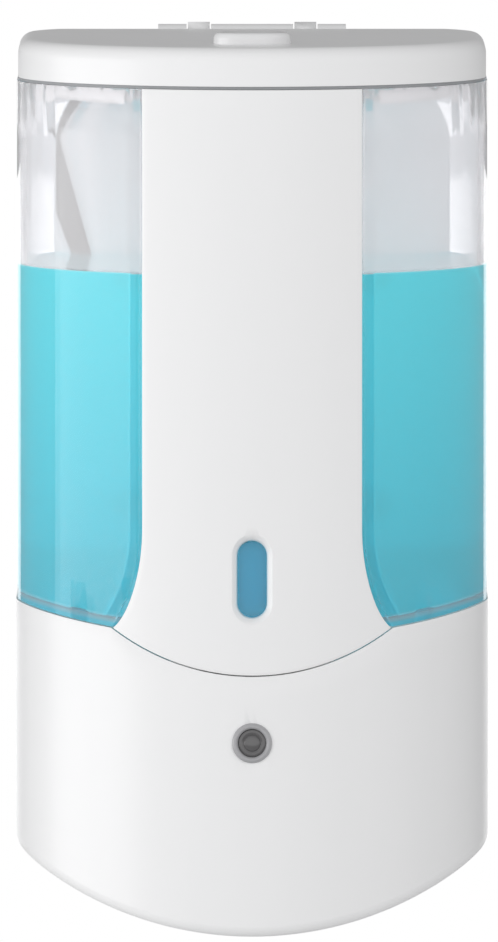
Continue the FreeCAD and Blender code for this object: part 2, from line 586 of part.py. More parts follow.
sensor_hole = obround_z("(sensor_width + 2 * hole_fit)", "(sensor_length + 2 * hole_fit)",
                        "0", "-sensor_depth", up("-5"), up("8"))
switch_slot = box(across("(knob_width + switch_travel) / 2 + hole_fit"),
                  ("-(switch_depth + knob_length / 2 + hole_fit)",
                   "-(switch_depth - knob_length / 2 - hole_fit)"), (up("-5"), up("5")))
low_shell = joined(cut(rounded, low_hollow), *posts, *bosses, *ribs)
piece("lower_housing", cut(low_shell, door_room, door_relief, pin_holes, nozzle_hole, eye_hole, sensor_hole,
                           switch_slot, *post_bores, *boss_bores))

# ---------------------------------------------------------------- deck
# A flat shelf under the tank that keeps the works dry and carries the pump.
deck_plate = shared(oval_block("deck_inset", up("deck_level"), up("(deck_level + deck_wall)")),
                    in_front_of(TANK_BACK))
spigot_room = rod("Z", "0", "-outlet_depth", up("(deck_level - 5)"), "tube_bore / 2 + tube_wall + 0.6", "20")
deck_holes = [rod("Z", x, y, up("(deck_level - 5)"), "screw_shank + hole_fit", "20") for x, y in post_spots]
hanger_foot = "(pump_height + gear_module * (gear_teeth / 2 + 1) + pump_margin + 0.1)"
hangers = [box((side + "hanger_x - 2", side + "hanger_x + 2"), ("-(pump_back + 6)", "-(pump_back + 2)"),
               (up(hanger_foot), up("(deck_level + 0.5)"))) for side in ("", "-")]
piece("deck", cut(joined(deck_plate, *hangers), spigot_room, *deck_holes))
down = Vector(0, 0, -1)
ahead = Vector(0, -1, 0)
deck_top = number(up("(deck_level + deck_wall)"))
piece("deck_screws", made(Part.makeCompound(
    [pan_screw(down, Vector(number(x), number(y), deck_top)) for x, y in post_spots])))
piece("housing_screws", made(Part.makeCompound(
    [pan_screw(ahead, Vector(number(x), -number("wall_gap + shell_wall + pan_height"), number(z)))
     for x, z in boss_spots])))

# ---------------------------------------------------------------- lid and gasket
# A shallow cover with rounded top edges, a skirt that dips into the tank and two hinge knuckles.
lid_block = shared(oval_block("lid_inset", LID_FOOT, LID_TOP), in_front_of("lid_back"))
doc.recompute()
top_edges = []
for index, edge in enumerate(lid_block.Shape.Edges, start=1):
    spots = [edge.valueAt(edge.FirstParameter + share * (edge.LastParameter - edge.FirstParameter))
             for share in (0.1, 0.5, 0.9)]
    if all(abs(spot.z - number(LID_TOP)) < 0.01 for spot in spots):
        top_edges.append((index, number("lid_round"), number("lid_round")))
lid_rounded = doc.addObject("Part::Fillet", "RoundedLid")
lid_rounded.Base = lid_block
lid_rounded.Edges = top_edges
LID_UNDER = "(%s - shell_wall)" % LID_TOP
lid_hollow = shared(oval_block("lid_inset + shell_wall", "%s - 2" % LID_FOOT, LID_UNDER),
                    in_front_of("lid_back + shell_wall"))


def mouth_form(gap, back, low, high):
    """A form that follows the inside of the tank's mouth at an even gap, step behind the panel included."""
    inset = "tank_inset + tank_wall + %s" % gap
    step = "%s + tank_wall + %s" % (PANEL_STEP, gap)
    front_strip = box(across("panel_width / 2 + seam_gap + tank_wall + %s" % gap),
                      ("-(body_depth + 5)", "-(body_depth - body_width / 2)"), (low, high))
    form = joined(cut(oval_block(inset, low, high), front_strip), oval_block(step, low, high))
    return shared(form, in_front_of(back))


MOUTH_BACK = "%s + tank_wall + skirt_gap" % TANK_BACK
SKIRT_FOOT = "(%s - skirt_depth)" % LID_FOOT
skirt = cut(mouth_form("skirt_gap", MOUTH_BACK, SKIRT_FOOT, "%s + 0.5" % LID_UNDER),
            mouth_form("skirt_gap + skirt_wall", MOUTH_BACK + " + skirt_wall", "%s - 1" % SKIRT_FOOT,
                       "%s + 1" % LID_UNDER))
knuckles = []
for side in ("", "-"):
    span = ("%sknuckle_place - knuckle_width / 2" % side, "%sknuckle_place + knuckle_width / 2" % side)
    knuckles.append(rod("X", span[0], "-hinge_depth", HINGE_Z, "knuckle_radius", "knuckle_width"))
    knuckles.append(box(span, ("-(lid_back + shell_wall)", "-hinge_depth"), ("%s - 1" % HINGE_Z, LID_TOP)))
BUTTON_Y = "-button_depth"
button_hole = obround_z("(button_width + 2 * button_fit)", "(button_length + 2 * button_fit)", "0", BUTTON_Y,
                        "%s - 3" % LID_UNDER, "%s + 5" % LID_TOP)
bolt_front = "(body_depth - %s - tank_wall + catch_depth - 0.5)" % PANEL_STEP
bolt_slot = box(across("bolt_width / 2 + bolt_fit"), ("-(%s)" % bolt_front, "-button_depth"),
                ("%s - 1" % SKIRT_FOOT, "%s + bolt_fit" % BOLT_TOP))
keeper_half = "(button_width / 2 + flange_lip + 2 * button_fit)"
lid_bore = rod("X", "-hinge_width", "-hinge_depth", HINGE_Z, "pin_radius + running_fit", "2 * hinge_width")
piece("lid", cut(joined(cut(lid_rounded, lid_hollow), skirt, *knuckles), button_hole, bolt_slot, lid_bore))
gasket_inset = "lid_inset + 0.4"
gasket = cut(shared(oval_block(gasket_inset, "%s + rest_gap" % RIM, LID_FOOT), in_front_of("lid_back + 0.4")),
             shared(oval_block(gasket_inset + " + gasket_width", "%s - 1" % RIM, "%s + 1" % LID_FOOT),
                    in_front_of("lid_back + 0.4 + gasket_width")))
piece("lid_gasket", gasket)

# ---------------------------------------------------------------- lid latch
# Pressing the oval button drives a wedge that draws the bolt back out of the tank's catch.
FLANGE_TOP = "(%s - rest_gap)" % LID_UNDER
FLANGE_LOW = "(%s - flange_height)" % FLANGE_TOP
button_cap = obround_z("button_width", "button_length", "0", BUTTON_Y, "%s - 0.2" % FLANGE_TOP,
                       "%s + button_rise" % LID_TOP)
doc.recompute()
cap_edges = [(index, 0.9, 0.9) for index, edge in enumerate(button_cap.Shape.Edges, start=1)
             if abs(edge.CenterOfMass.z - number("%s + button_rise" % LID_TOP)) < 0.01]
button_rounded = doc.addObject("Part::Fillet", "RoundedButton")
button_rounded.Base = button_cap
button_rounded.Edges = cap_edges
button_flange = obround_z("(button_width + 2 * flange_lip)", "(button_length + 2 * flange_lip)",
                          "0", BUTTON_Y, FLANGE_LOW, FLANGE_TOP)
wedge_back = "-(button_depth - stem_width / 2)"
WEDGE_TOP = "(%s + 1)" % BOLT_TOP
WEDGE_LOW = "(%s + 0.4)" % BOLT_LOW
stem = box(across("stem_width / 2"), ("-(button_depth + stem_width / 2)", wedge_back),
           (WEDGE_LOW, "%s + 0.2" % FLANGE_LOW))


def slope_block(gap, half):
    """A turned block whose upper face is the 45 degree plane where the stem's wedge meets the bolt."""
    block = doc.addObject("Part::Box", "SlopeBlock")
    bind(block, Length="2 * (%s)" % half, Width="slope_side", Height="slope_side")
    return place(block, "-(%s)" % half, "%s + %s + slope_side / 2 * sin(45)" % (wedge_back, gap),
                 "%s - 1.5 * slope_side * sin(45)" % WEDGE_TOP, Rotation(Vector(1, 0, 0), 45))


stem_cut = slope_block("0", "stem_width")
piece("latch_button", cut(joined(button_rounded, button_flange, stem), stem_cut))
bolt_bar = box(across("bolt_width / 2"), ("-(%s)" % bolt_front, "-(%s - bolt_length)" % bolt_front),
               (BOLT_LOW, BOLT_TOP))
bolt_window = box(across("stem_width / 2 + bolt_fit"),
                  ("-(button_depth + stem_width / 2 + button_travel + bolt_fit)", "-(button_depth - 8)"),
                  ("%s - 1" % BOLT_LOW, "%s + 1" % BOLT_TOP))
bolt_ramp = cut(bolt_window, slope_block("0.1", "bolt_width"))
piece("latch_bolt", cut(bolt_bar, bolt_ramp))
keeper_low = "(%s - bolt_fit - keeper_wall)" % BOLT_LOW
keeper_top = "(%s + bolt_fit + keeper_wall)" % BOLT_TOP
keeper_span = ("-(button_depth + 8)", "-(button_depth - 8)")
keeper_block = box(across("%s + keeper_wall" % keeper_half), keeper_span, (keeper_low, keeper_top))
keeper_ears = [box((("%s" % keeper_half, "%s + keeper_wall" % keeper_half) if side == "" else
                    ("-(%s + keeper_wall)" % keeper_half, "-%s" % keeper_half)), keeper_span,
                   (keeper_low, "%s - 0.05" % LID_UNDER)) for side in ("", "-")]
keeper_way = box(across("bolt_width / 2 + bolt_fit"), ("-(button_depth + 20)", "-(button_depth - 20)"),
                 ("%s - bolt_fit" % BOLT_LOW, "%s + bolt_fit" % BOLT_TOP))
stem_room = box(across("stem_width / 2 + bolt_fit"),
                ("-(button_depth + stem_width / 2 + bolt_fit)",
                 "-(button_depth - stem_width / 2 - bolt_fit)"),
                ("%s - 5" % keeper_low, "%s + 5" % keeper_top))
piece("latch_keeper", cut(joined(keeper_block, *keeper_ears), keeper_way, stem_room))
spring_low = "(%s + rest_gap)" % keeper_top
piece("latch_spring", made(coil(number("coil_radius"), number("coil_wire"),
                                number("%s - rest_gap - %s" % (FLANGE_LOW, spring_low)), 3,
                                Vector(0, number(BUTTON_Y), number(spring_low)))))

# ---------------------------------------------------------------- batteries, box, contacts and door
CELL_HEIGHT = "(box_foot + cell_clear + cell_radius)"
CELL_Z = up(CELL_HEIGHT)
room_back = "-(box_back + box_wall)"
room_front = "-(box_back + box_wall + %s)" % CELL_ROOM
box_roof = up("(%s + cell_radius + cell_fit)" % CELL_HEIGHT)
box_shell = box(across("%s + box_wall" % CELL_HALF), ("%s - box_wall" % room_front, "-box_back"),
                (up("box_foot"), "%s + box_wall" % box_roof))
box_room = box(across(CELL_HALF), (room_front, room_back), (up("0"), box_roof))
cradles = []
for index in range(3):
    middle = "(%d - 1) * %s" % (index, CELL_PITCH)
    cradles.append(box((middle + " - cell_gap / 2", middle + " + cell_gap / 2"),
                       ("%s + 12" % room_front, "%s - 12" % room_back),
                       ("%s - 3" % box_roof, "%s + 0.5" % box_roof)))
piece("battery_box", joined(cut(box_shell, box_room), *cradles))
cell_profile = [("0", "0"), ("cell_radius * 0.72", "0"), ("cell_radius * 0.72", "0.3"),
                ("cell_radius - 0.6", "0.3"), ("cell_radius", "0.9"),
                ("cell_radius", "cell_length - cell_nub - 1"),
                ("cell_radius - 0.8", "cell_length - cell_nub"),
                ("cell_nub_radius", "cell_length - cell_nub"),
                ("cell_nub_radius", "cell_length"), ("0", "cell_length")]
springs = []
contact_slack = number("film")
for index in range(4):
    cell_x = "(%d - 1.5) * %s" % (index, CELL_PITCH)
    if index % 2 == 0:
        start = "%s + contact_wall + contact_room" % room_front
        way = ALONG["Y"]
        spring_base = "%s + contact_wall" % room_front
    else:
        start = "%s - contact_wall - contact_room" % room_back
        way = Rotation(Vector(1, 0, 0), 90)
        spring_base = start
    piece("battery_%d" % (index + 1), turned(cell_profile, cell_x, start, CELL_Z, way))
    base = Vector(number(cell_x), number(spring_base) + contact_slack, number(CELL_Z))
    springs.append(coil(number("contact_coil"), number("contact_wire"),
                        number("contact_room") - 2 * contact_slack, 3, base, "Y"))
piece("battery_springs", made(Part.makeCompound(springs)))
for end, pairs in (("front", ((0, 1), (2, 3))), ("back", ((0, 0), (1, 2), (3, 3)))):
    low = room_front + " + film / 2" if end == "front" else "%s - contact_wall" % room_back
    plates = []
    for first, last in pairs:
        plates.append(box(("(%d - 1.5) * %s - contact_half" % (first, CELL_PITCH),
                           "(%d - 1.5) * %s + contact_half" % (last, CELL_PITCH)),
                          (low, "%s + contact_wall - film / 2" % low),
                          (CELL_Z + " - contact_half", CELL_Z + " + contact_half")))
    group = doc.addObject("Part::Compound", "Contacts")
    group.Links = plates
    piece("contact_plates_%s" % end, group)
door_zone = box(("-" + DOOR_HALF, door_axis_x), (door_low, "-door_back"), (up("-2"), up("(box_foot - 0.3)")))
door_blank = cut(shared(door_zone, y_rod("0", up(BOTTOM_ARC), BOTTOM_ARC)),
                 y_rod("0", up(BOTTOM_ARC), "%s - shell_wall" % BOTTOM_ARC))
door_rod = rod("Y", door_axis_x, door_low, door_axis_z, "door_barrel", DOOR_LENGTH)
door_pins = rod("Y", door_axis_x, "%s - 1.8" % door_low, door_axis_z, "door_pin", DOOR_LENGTH + " + 3.6")
grip_ribs = []
for index in range(4):
    grip_y = "-(door_back + %s / 2) + (%d - 1.5) * grip_pitch" % (DOOR_LENGTH, index)
    groove = box(("-(%s - 2)" % DOOR_HALF, "-(%s - 9)" % DOOR_HALF),
                 ("%s - 0.6" % grip_y, "%s + 0.6" % grip_y), (up("-2"), up("7")))
    grip_ribs.append(cut(groove, y_rod("0", up(BOTTOM_ARC), "%s - 0.5" % BOTTOM_ARC)))
piece("battery_door", cut(joined(door_blank, door_rod, door_pins), *grip_ribs))

# ---------------------------------------------------------------- gear pump
# Two meshing gears in a close-fitting body: the left one is driven, the right one idles on a pin.
PUMP_Z = up("pump_height")
GEAR_X = "(gear_module * gear_teeth / 2)"
GEAR_TIP = "(gear_module * (gear_teeth / 2 + 0.8))"
GEAR_BACK = "-(pump_back + pump_wall + gear_side)"


def gear_wire(shift):
    """The outline of an involute gear, with 25 degree flanks thinned a little for backlash."""
    module = number("gear_module")
    teeth = int(number("gear_teeth"))
    pitch = module * teeth / 2
    base = pitch * math.cos(math.radians(25))
    tip = number(GEAR_TIP)
    root = pitch - 1.0 * module
    half_tooth = math.pi / (2 * teeth) - 0.07 * module / pitch
    spread = math.tan(math.radians(25)) - math.radians(25)

    def flank(radius, side, middle):
        if radius > base:
            press = math.acos(base / radius)
            angle = half_tooth + spread - (math.tan(press) - press)
        else:
            angle = half_tooth + spread
        turn = middle + side * angle
        return Vector(radius * math.cos(turn), radius * math.sin(turn), 0)

    edges = []
    steps = 7
    low = max(base, root)
    radii = [low + (tip - low) * step / (steps - 1) for step in range(steps)]
    for tooth in range(teeth):
        middle = shift + 2 * math.pi * tooth / teeth
        following = middle + 2 * math.pi / teeth
        rise = [flank(radius, -1, middle) for radius in radii]
        fall = [flank(radius, 1, middle) for radius in reversed(radii)]
        rising = Part.BSplineCurve()
        rising.interpolate(rise)
        falling = Part.BSplineCurve()
        falling.interpolate(fall)
        crown = Part.Arc(rise[-1], Vector(tip * math.cos(middle), tip * math.sin(middle), 0), fall[0])
        valley = middle + math.pi / teeth
        foot = flank(root, 1, middle)
        next_foot = flank(root, -1, following)
        edges += [rising.toShape(), crown.toShape(), falling.toShape()]
        if root < low - 1e-6:
            edges.append(Part.LineSegment(fall[-1], foot).toShape())
        edges.append(Part.Arc(foot, Vector(root * math.cos(valley), root * math.sin(valley), 0),
                              next_foot).toShape())
        if root < low - 1e-6:
            edges.append(Part.LineSegment(next_foot, flank(radii[0], -1, following)).toShape())
    return Part.Wire(Part.__sortEdges__(edges))


def gear(x, shift, bore):
    face = Part.Face(gear_wire(shift))
    solid = face.extrude(Vector(0, 0, number("gear_width")))
    solid = solid.cut(Part.makeCylinder(bore, 30, Vector(0, 0, -5)))
    solid.Placement = FreeCAD.Placement(Vector(x, number(GEAR_BACK), number(PUMP_Z)),
                                        Rotation(Vector(1, 0, 0), 90))
    return solid


half_pitch = math.pi / number("gear_teeth")
piece("drive_gear", made(gear(-number(GEAR_X), 0, number("shaft_radius + soap_film"))))
piece("idler_gear", made(gear(number(GEAR_X), half_pitch, number("shaft_radius + running_fit"))))
pump_front = "(pump_back + pump_wall + gear_width + 2 * gear_side)"
pump_half_x = "(%s + %s + pump_margin)" % (GEAR_X, GEAR_TIP)
pump_half_z = "(%s + pump_margin)" % GEAR_TIP
pump_block = box(across(pump_half_x), ("-" + pump_front, "-pump_back"),
                 ("%s - %s" % (PUMP_Z, pump_half_z), "%s + %s" % (PUMP_Z, pump_half_z)))
gear_rooms = [rod("Y", side + GEAR_X, "-" + pump_front, PUMP_Z, "%s + gear_tip" % GEAR_TIP,
                  "gear_width + 2 * gear_side") for side in ("", "-")]
port_radius = "(tube_bore / 2 - nipple_wall)"
inlet_way = rod("Z", "0", "-outlet_depth", PUMP_Z, port_radius, "%s + 10" % pump_half_z)
inlet_nipple = rod("Z", "0", "-outlet_depth", "%s + %s - 0.5" % (PUMP_Z, pump_half_z), "tube_bore / 2", "4.5")
outlet_pocket = box(across("1.8"), ("-" + pump_front, "-(pump_back + pump_wall)"),
                    ("%s - 6.4" % PUMP_Z, PUMP_Z))
shaft_hole = rod("Y", "-" + GEAR_X, "-%s" % pump_front, PUMP_Z, "shaft_radius + running_fit", "30")
seal_room = rod("Y", "-" + GEAR_X, "-(pump_back + seal_height)", PUMP_Z, "shaft_radius + seal_wall", "5")
idler_hole = rod("Y", GEAR_X, "-%s" % pump_front, PUMP_Z, "shaft_radius", "%s - pump_back - 1" % pump_front)
screw_corner_x = "(%s - screw_margin)" % pump_half_x
screw_corner_z = "(%s - screw_margin)" % pump_half_z
pump_corners = [(sx + screw_corner_x, "%s %s %s" % (PUMP_Z, sz, screw_corner_z))
                for sx in ("", "-") for sz in "+-"]
pump_screw_holes = [rod("Y", x, "-%s - 1" % pump_front, z, "small_shank + film", "small_length + 1")
                    for x, z in pump_corners]
piece("pump_body", cut(joined(pump_block, inlet_nipple), *gear_rooms, inlet_way, outlet_pocket, shaft_hole,
                       seal_room, idler_hole, *pump_screw_holes))
cover_front = "(%s + pump_wall)" % pump_front
cover_block = box(across(pump_half_x), ("-" + cover_front, "-(%s + 0.02)" % pump_front),
                  ("%s - %s" % (PUMP_Z, pump_half_z), "%s + %s" % (PUMP_Z, pump_half_z)))
outlet_z = "%s - port_drop" % PUMP_Z
NIPPLE = "(tube_bore / 2 - 1)"
outlet_nipple = rod("Y", "0", "-(%s + 5)" % cover_front, outlet_z, NIPPLE, "5.5")
outlet_bore = rod("Y", "0", "-(%s + 10)" % cover_front, outlet_z, "1.4", "20")
cover_holes = [rod("Y", x, "-(%s + 5)" % cover_front, z, "small_shank + hole_fit", "10")
               for x, z in pump_corners]
piece("pump_cover", cut(joined(cover_block, outlet_nipple), outlet_bore, *cover_holes))
piece("idler_pin", rod("Y", GEAR_X, "-(%s - 0.05)" % pump_front, PUMP_Z, "shaft_radius - 0.005",
                       "%s - pump_back - 1.1" % pump_front))
pump_screws = []
for x, z in pump_corners:
    seat = Vector(number(x), -number(cover_front), number(z))
    head = Part.makeCylinder(number("small_head"), number("small_head_height"), seat, Vector(0, -1, 0))
    shank = Part.makeCylinder(number("small_shank"), number("small_length"), seat, Vector(0, 1, 0))
    pump_screws.append(head.fuse(shank))
piece("pump_screws", made(Part.makeCompound(pump_screws)))
seal_ring = rod("Y", "-" + GEAR_X, "-(pump_back + seal_height - 0.05)", PUMP_Z,
                "shaft_radius + seal_wall - 0.05", "seal_height - 0.1")
seal_bore = rod("Y", "-" + GEAR_X, "-(pump_back + 5)", PUMP_Z, "shaft_radius + running_fit", "10")
piece("shaft_seal", cut(seal_ring, seal_bore))

# ---------------------------------------------------------------- motor
MOTOR_FRONT = "(pump_back - motor_gap)"
MOTOR_BACK = "(%s - motor_length)" % MOTOR_FRONT
motor_x = "-" + GEAR_X
can = rod("Y", motor_x, "-" + MOTOR_FRONT, PUMP_Z, "motor_radius", "motor_length - 4")
nose = rod("Y", motor_x, "-(pump_back - 0.1)", PUMP_Z, "motor_nose", "4")
nose_bore = rod("Y", motor_x, "-(pump_back + 2)", PUMP_Z, "shaft_radius + running_fit", "30")
flats = [box(("%s - 20" % motor_x, "%s + 20" % motor_x), ("-%s - 1" % MOTOR_FRONT, "-%s + 1" % MOTOR_BACK),
             (("%s + motor_radius * 0.86" % PUMP_Z, "%s + 20" % PUMP_Z) if side > 0 else
              ("%s - 20" % PUMP_Z, "%s - motor_radius * 0.86" % PUMP_Z))) for side in (1, -1)]
piece("motor_can", cut(joined(can, nose), nose_bore, *flats))
cap_blank = rod("Y", motor_x, "-(%s + 3.95)" % MOTOR_BACK, PUMP_Z, "motor_radius - 0.4", "3.95")
cap_boss = rod("Y", motor_x, "-%s" % MOTOR_BACK, PUMP_Z, "3", "1.6")
piece("motor_end_cap", cut(joined(cut(cap_blank, *flats), cap_boss),
                           rod("Y", motor_x, "-(pump_back + 2)", PUMP_Z, "shaft_radius + running_fit", "40")))
piece("motor_shaft", rod("Y", motor_x, "-(%s - 0.3)" % pump_front, PUMP_Z, "shaft_radius",
                         "%s - %s + 1" % (pump_front, MOTOR_BACK)))
terminals = [box(("%s + %s - 1.2" % (motor_x, place_x), "%s + %s + 1.2" % (motor_x, place_x)),
                 ("-%s + film" % MOTOR_BACK, "-%s + 3" % MOTOR_BACK),
                 ("%s + 3" % PUMP_Z, "%s + 3.5" % PUMP_Z)) for place_x in ("(-7.5)", "7.5")]
terminal_group = doc.addObject("Part::Compound", "Terminals")
terminal_group.Links = terminals
piece("motor_terminals", terminal_group)

# ---------------------------------------------------------------- tubes and nozzle
inlet_foot = "%s + %s + 0.4" % (PUMP_Z, pump_half_z)
inlet_top = "(%s - 0.4)" % up(TANK_LOW)
inlet_wall = rod("Z", "0", "-outlet_depth", inlet_foot, "tube_bore / 2 + tube_wall",
                 "%s - (%s)" % (inlet_top, inlet_foot))
inlet_bore = rod("Z", "0", "-outlet_depth", up("20"), "tube_bore / 2 + film / 2", "60")
piece("inlet_tube", cut(inlet_wall, inlet_bore))
tube_start = Vector(0, -number(cover_front) - 0.5, number(outlet_z))
tube_corner = Vector(0, -number("nozzle_depth"), number(outlet_z))
tube_end = Vector(0, -number("nozzle_depth"), number(up("12")))
piece("outlet_tube", made(path_tube([tube_start, tube_corner, tube_end], number(NIPPLE) + 1.2, 9.5,
                                    number(NIPPLE + " + film / 2"))))
# its flange rests on the arched bottom, so the seat lies where the arc passes under the flange's rim
NOZZLE_SEAT = "(shell_wall + nozzle_flange ^ 2 / (2 * (%s - shell_wall)) + 0.08)" % BOTTOM_ARC
piece("nozzle", turned([("nozzle_bore", "-nozzle_drop"), ("nozzle_radius - 1.2", "-nozzle_drop"),
                        ("nozzle_radius", "0.4"), ("nozzle_radius", NOZZLE_SEAT),
                        ("nozzle_flange", NOZZLE_SEAT),
                        ("nozzle_flange", NOZZLE_SEAT + " + flange_height"),
                        (NIPPLE + " + 1.6", NOZZLE_SEAT + " + 2.4"), (NIPPLE + " + 1.6", "11.8"),
                        (NIPPLE, "11.8"), (NIPPLE, "nozzle_top"), ("nozzle_bore", "nozzle_top")],
                       "0", "-nozzle_depth", up("0")))
piece("nozzle_valve", turned([("0", "0.6"), ("0.7", "0.6"), ("nozzle_bore - 0.05", "3.4"),
                              ("nozzle_bore - 0.05", "6"), ("nozzle_bore - 0.6", "6"),
                              ("nozzle_bore - 0.6", "3.8"), ("0", "1.6")], "0", "-nozzle_depth", up("0")))

# ---------------------------------------------------------------- indicator eye
EYE = ("0", "-body_depth", up("eye_height"))
EYE_TURN = Rotation(Vector(1, 0, 0), 90)
piece("eye_bezel", turned([("eye_lens + 0.05", "-eye_length"), ("eye_stem", "-eye_length"), ("eye_stem", "0"),
                           ("eye_radius", "0"), ("eye_radius", "eye_proud - 0.4"),
                           ("eye_radius - 0.4", "eye_proud"), ("eye_lens + 0.35", "eye_proud"),
                           ("eye_lens + 0.05", "eye_proud - 0.3")], *EYE, EYE_TURN))
piece("eye_lens", turned([("0", "-eye_length + 0.6"), ("eye_lens", "-eye_length + 0.6"), ("eye_lens", "-0.2"),
                          ("eye_lens * 0.86", "0.25"), ("eye_lens * 0.5", "eye_proud - 0.2"),
                          ("0", "eye_proud")], *EYE, EYE_TURN))
eye_board_y = "-(body_depth - eye_length - 3)"
eye_board = box(across("8"), ("%s" % eye_board_y, "%s + board_wall" % eye_board_y),
                (up("(eye_height - 8)"), up("(eye_height + 8)")))
piece("eye_board", eye_board)
piece("eye_light", rod("Y", "0", "%s - 2.6" % eye_board_y, up("eye_height"), "1.5", "2.55"))

# ---------------------------------------------------------------- hand sensor under the housing
piece("sensor_window", obround_z("sensor_width", "sensor_length", "0", "-sensor_depth",
                                 up("0.35"), up("2.35")))
sensor_half = "(sensor_width / 2 + 2)"
piece("sensor_board", box(across(sensor_half), ("-(sensor_depth + 4)", "-(sensor_depth - 4)"),
                          (up("sensor_board"), up("(sensor_board + board_wall)"))))
for name, side in (("hand_emitter", "-"), ("hand_receiver", "")):
    piece(name, joined(rod("Z", side + "4", "-sensor_depth", up("(sensor_board - 4.2)"), "1.5", "4.15"),
                       rod("Z", side + "4", "-sensor_depth", up("(sensor_board - 1)"), "1.9", "0.95")))

# ---------------------------------------------------------------- on/off switch
switch_low = up("switch_seat")
switch_case = box(across("switch_width / 2"),
                  ("-(switch_depth + switch_length / 2)", "-(switch_depth - switch_length / 2)"),
                  (switch_low, "%s + switch_height" % switch_low))
switch_room = box(across("(knob_width + switch_travel) / 2 + 0.4"),
                  ("-(switch_depth + knob_length / 2 + 0.15)", "-(switch_depth - knob_length / 2 - 0.15)"),
                  ("%s - 1" % switch_low, "%s + 2.4" % switch_low))
piece("switch_case", cut(switch_case, switch_room))
piece("switch_knob", box(
    ("-(knob_width + switch_travel) / 2 + 0.1", "(knob_width - switch_travel) / 2 + 0.1"),
    ("-(switch_depth + knob_length / 2)", "-(switch_depth - knob_length / 2)"),
    (up("knob_recess"), "%s + 2.2" % switch_low)))

# ---------------------------------------------------------------- control board and leads
piece("main_board", box(("main_board_x", "main_board_x + main_board_wall"),
                        ("-(board_back + board_length)", "-board_back"),
                        (up("board_foot"), up("(board_foot + board_height)"))))
face_x = "main_board_x + main_board_wall + film"
piece("control_chip", box((face_x, face_x + " + 1.6"), ("-52", "-44"), (up("40"), up("48"))))
piece("power_capacitor", rod("X", face_x, "-62", up("44"), "3.2", "8"))
sockets = []
for socket_y, level in (("-35", "42"), ("-66", "51"), ("-58.5", "33")):
    sockets.append(box((face_x, face_x + " + 4.6"), (socket_y + " - 3", socket_y + " + 3"),
                       (up(level), up(level + " + 4"))))
socket_group = doc.addObject("Part::Compound", "Sockets")
socket_group.Links = sockets
piece("board_sockets", socket_group)


lead_x = number(face_x) + 4.65
lead_bend = 4
ground_z = number(up("0"))


def lead(*route):
    """One insulated wire along a route of (x, y, height) points."""
    points = [Vector(x, y, ground_z + height) for x, y, height in route]
    return path_tube(points, number("lead_radius"), lead_bend)


terminal_y = -number(MOTOR_BACK) + 3.02
terminal_height = number("pump_height") + 3.25
left_x = number(motor_x) - 7.5
right_x = number(motor_x) + 7.5
piece("motor_leads", made(Part.makeCompound([
    lead((right_x, terminal_y, terminal_height), (right_x, -16, terminal_height), (20, -14.4, 44),
         (37, -16, 44), (37, -34, 44), (lead_x, -34, 44)),
    lead((left_x, terminal_y, terminal_height), (left_x, -12.6, terminal_height), (20, -12.4, 44),
         (38.8, -12.4, 44), (38.8, -36, 44), (lead_x, -36, 44))])))
lead_start = number(room_front) - number("box_wall") - 0.05
piece("battery_leads", made(Part.makeCompound([
    lead((25, lead_start, 20), (25, -78, 20), (38.5, -78, 30), (38.5, -67, 53), (lead_x, -67, 53)),
    lead((23, lead_start, 20), (23, -80.2, 20), (40.5, -80.2, 30), (40.8, -65, 53), (lead_x, -65, 53))])))
piece("eye_lead", made(lead((lead_x, -60, 35), (40, -60, 35), (29, -80, 36), (6, -94, 38),
                            (6, number(eye_board_y) + number("board_wall") + 0.02, 38))))
piece("sensor_lead", made(lead((lead_x, -57, 35), (42, -57, 35), (31, -82, 30), (7.4, -100.5, 25),
                               (7.4, -100.5, number("sensor_board") + number("board_wall") + 0.02))))

# ---------------------------------------------------------------- check and write
doc.recompute()
for item in doc.Objects:
    faults = [state for state in item.State if state in ("Invalid", "Error")]
    assert not faults, "%s (%s) failed: %s" % (item.Name, item.Label, item.getStatusString())
for item in pieces:
    assert not item.Shape.isNull() and item.Shape.isValid(), "%s has no valid shape" % item.Label
    item.Shape.exportStep("parts/%s.step" % item.Label)
    print("%-22s %3d solid(s) %10.1f mm3" % (item.Label, len(item.Shape.Solids), item.Shape.Volume))
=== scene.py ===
import bmesh
import bpy
import math
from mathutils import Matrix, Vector


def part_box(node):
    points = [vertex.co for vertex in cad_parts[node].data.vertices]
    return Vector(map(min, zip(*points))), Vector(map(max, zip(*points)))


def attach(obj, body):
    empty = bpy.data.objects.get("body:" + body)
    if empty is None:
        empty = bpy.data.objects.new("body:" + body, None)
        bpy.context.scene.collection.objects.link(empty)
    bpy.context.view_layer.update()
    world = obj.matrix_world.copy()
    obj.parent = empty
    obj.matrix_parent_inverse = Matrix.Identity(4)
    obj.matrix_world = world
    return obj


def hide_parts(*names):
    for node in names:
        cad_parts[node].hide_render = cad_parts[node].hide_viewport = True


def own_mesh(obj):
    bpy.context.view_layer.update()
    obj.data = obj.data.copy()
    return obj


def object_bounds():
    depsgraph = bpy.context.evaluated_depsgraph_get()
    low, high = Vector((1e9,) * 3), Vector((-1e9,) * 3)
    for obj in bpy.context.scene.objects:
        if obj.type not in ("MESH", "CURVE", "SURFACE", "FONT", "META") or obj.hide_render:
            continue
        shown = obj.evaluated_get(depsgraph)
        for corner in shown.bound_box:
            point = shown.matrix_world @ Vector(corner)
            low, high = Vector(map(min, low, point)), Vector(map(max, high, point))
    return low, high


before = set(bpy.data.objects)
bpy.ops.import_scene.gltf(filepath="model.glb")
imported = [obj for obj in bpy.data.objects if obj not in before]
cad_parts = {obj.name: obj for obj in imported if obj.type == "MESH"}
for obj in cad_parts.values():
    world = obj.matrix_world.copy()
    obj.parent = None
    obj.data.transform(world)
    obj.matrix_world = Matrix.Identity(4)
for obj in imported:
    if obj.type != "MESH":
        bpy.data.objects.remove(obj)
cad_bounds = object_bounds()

MM = 0.001

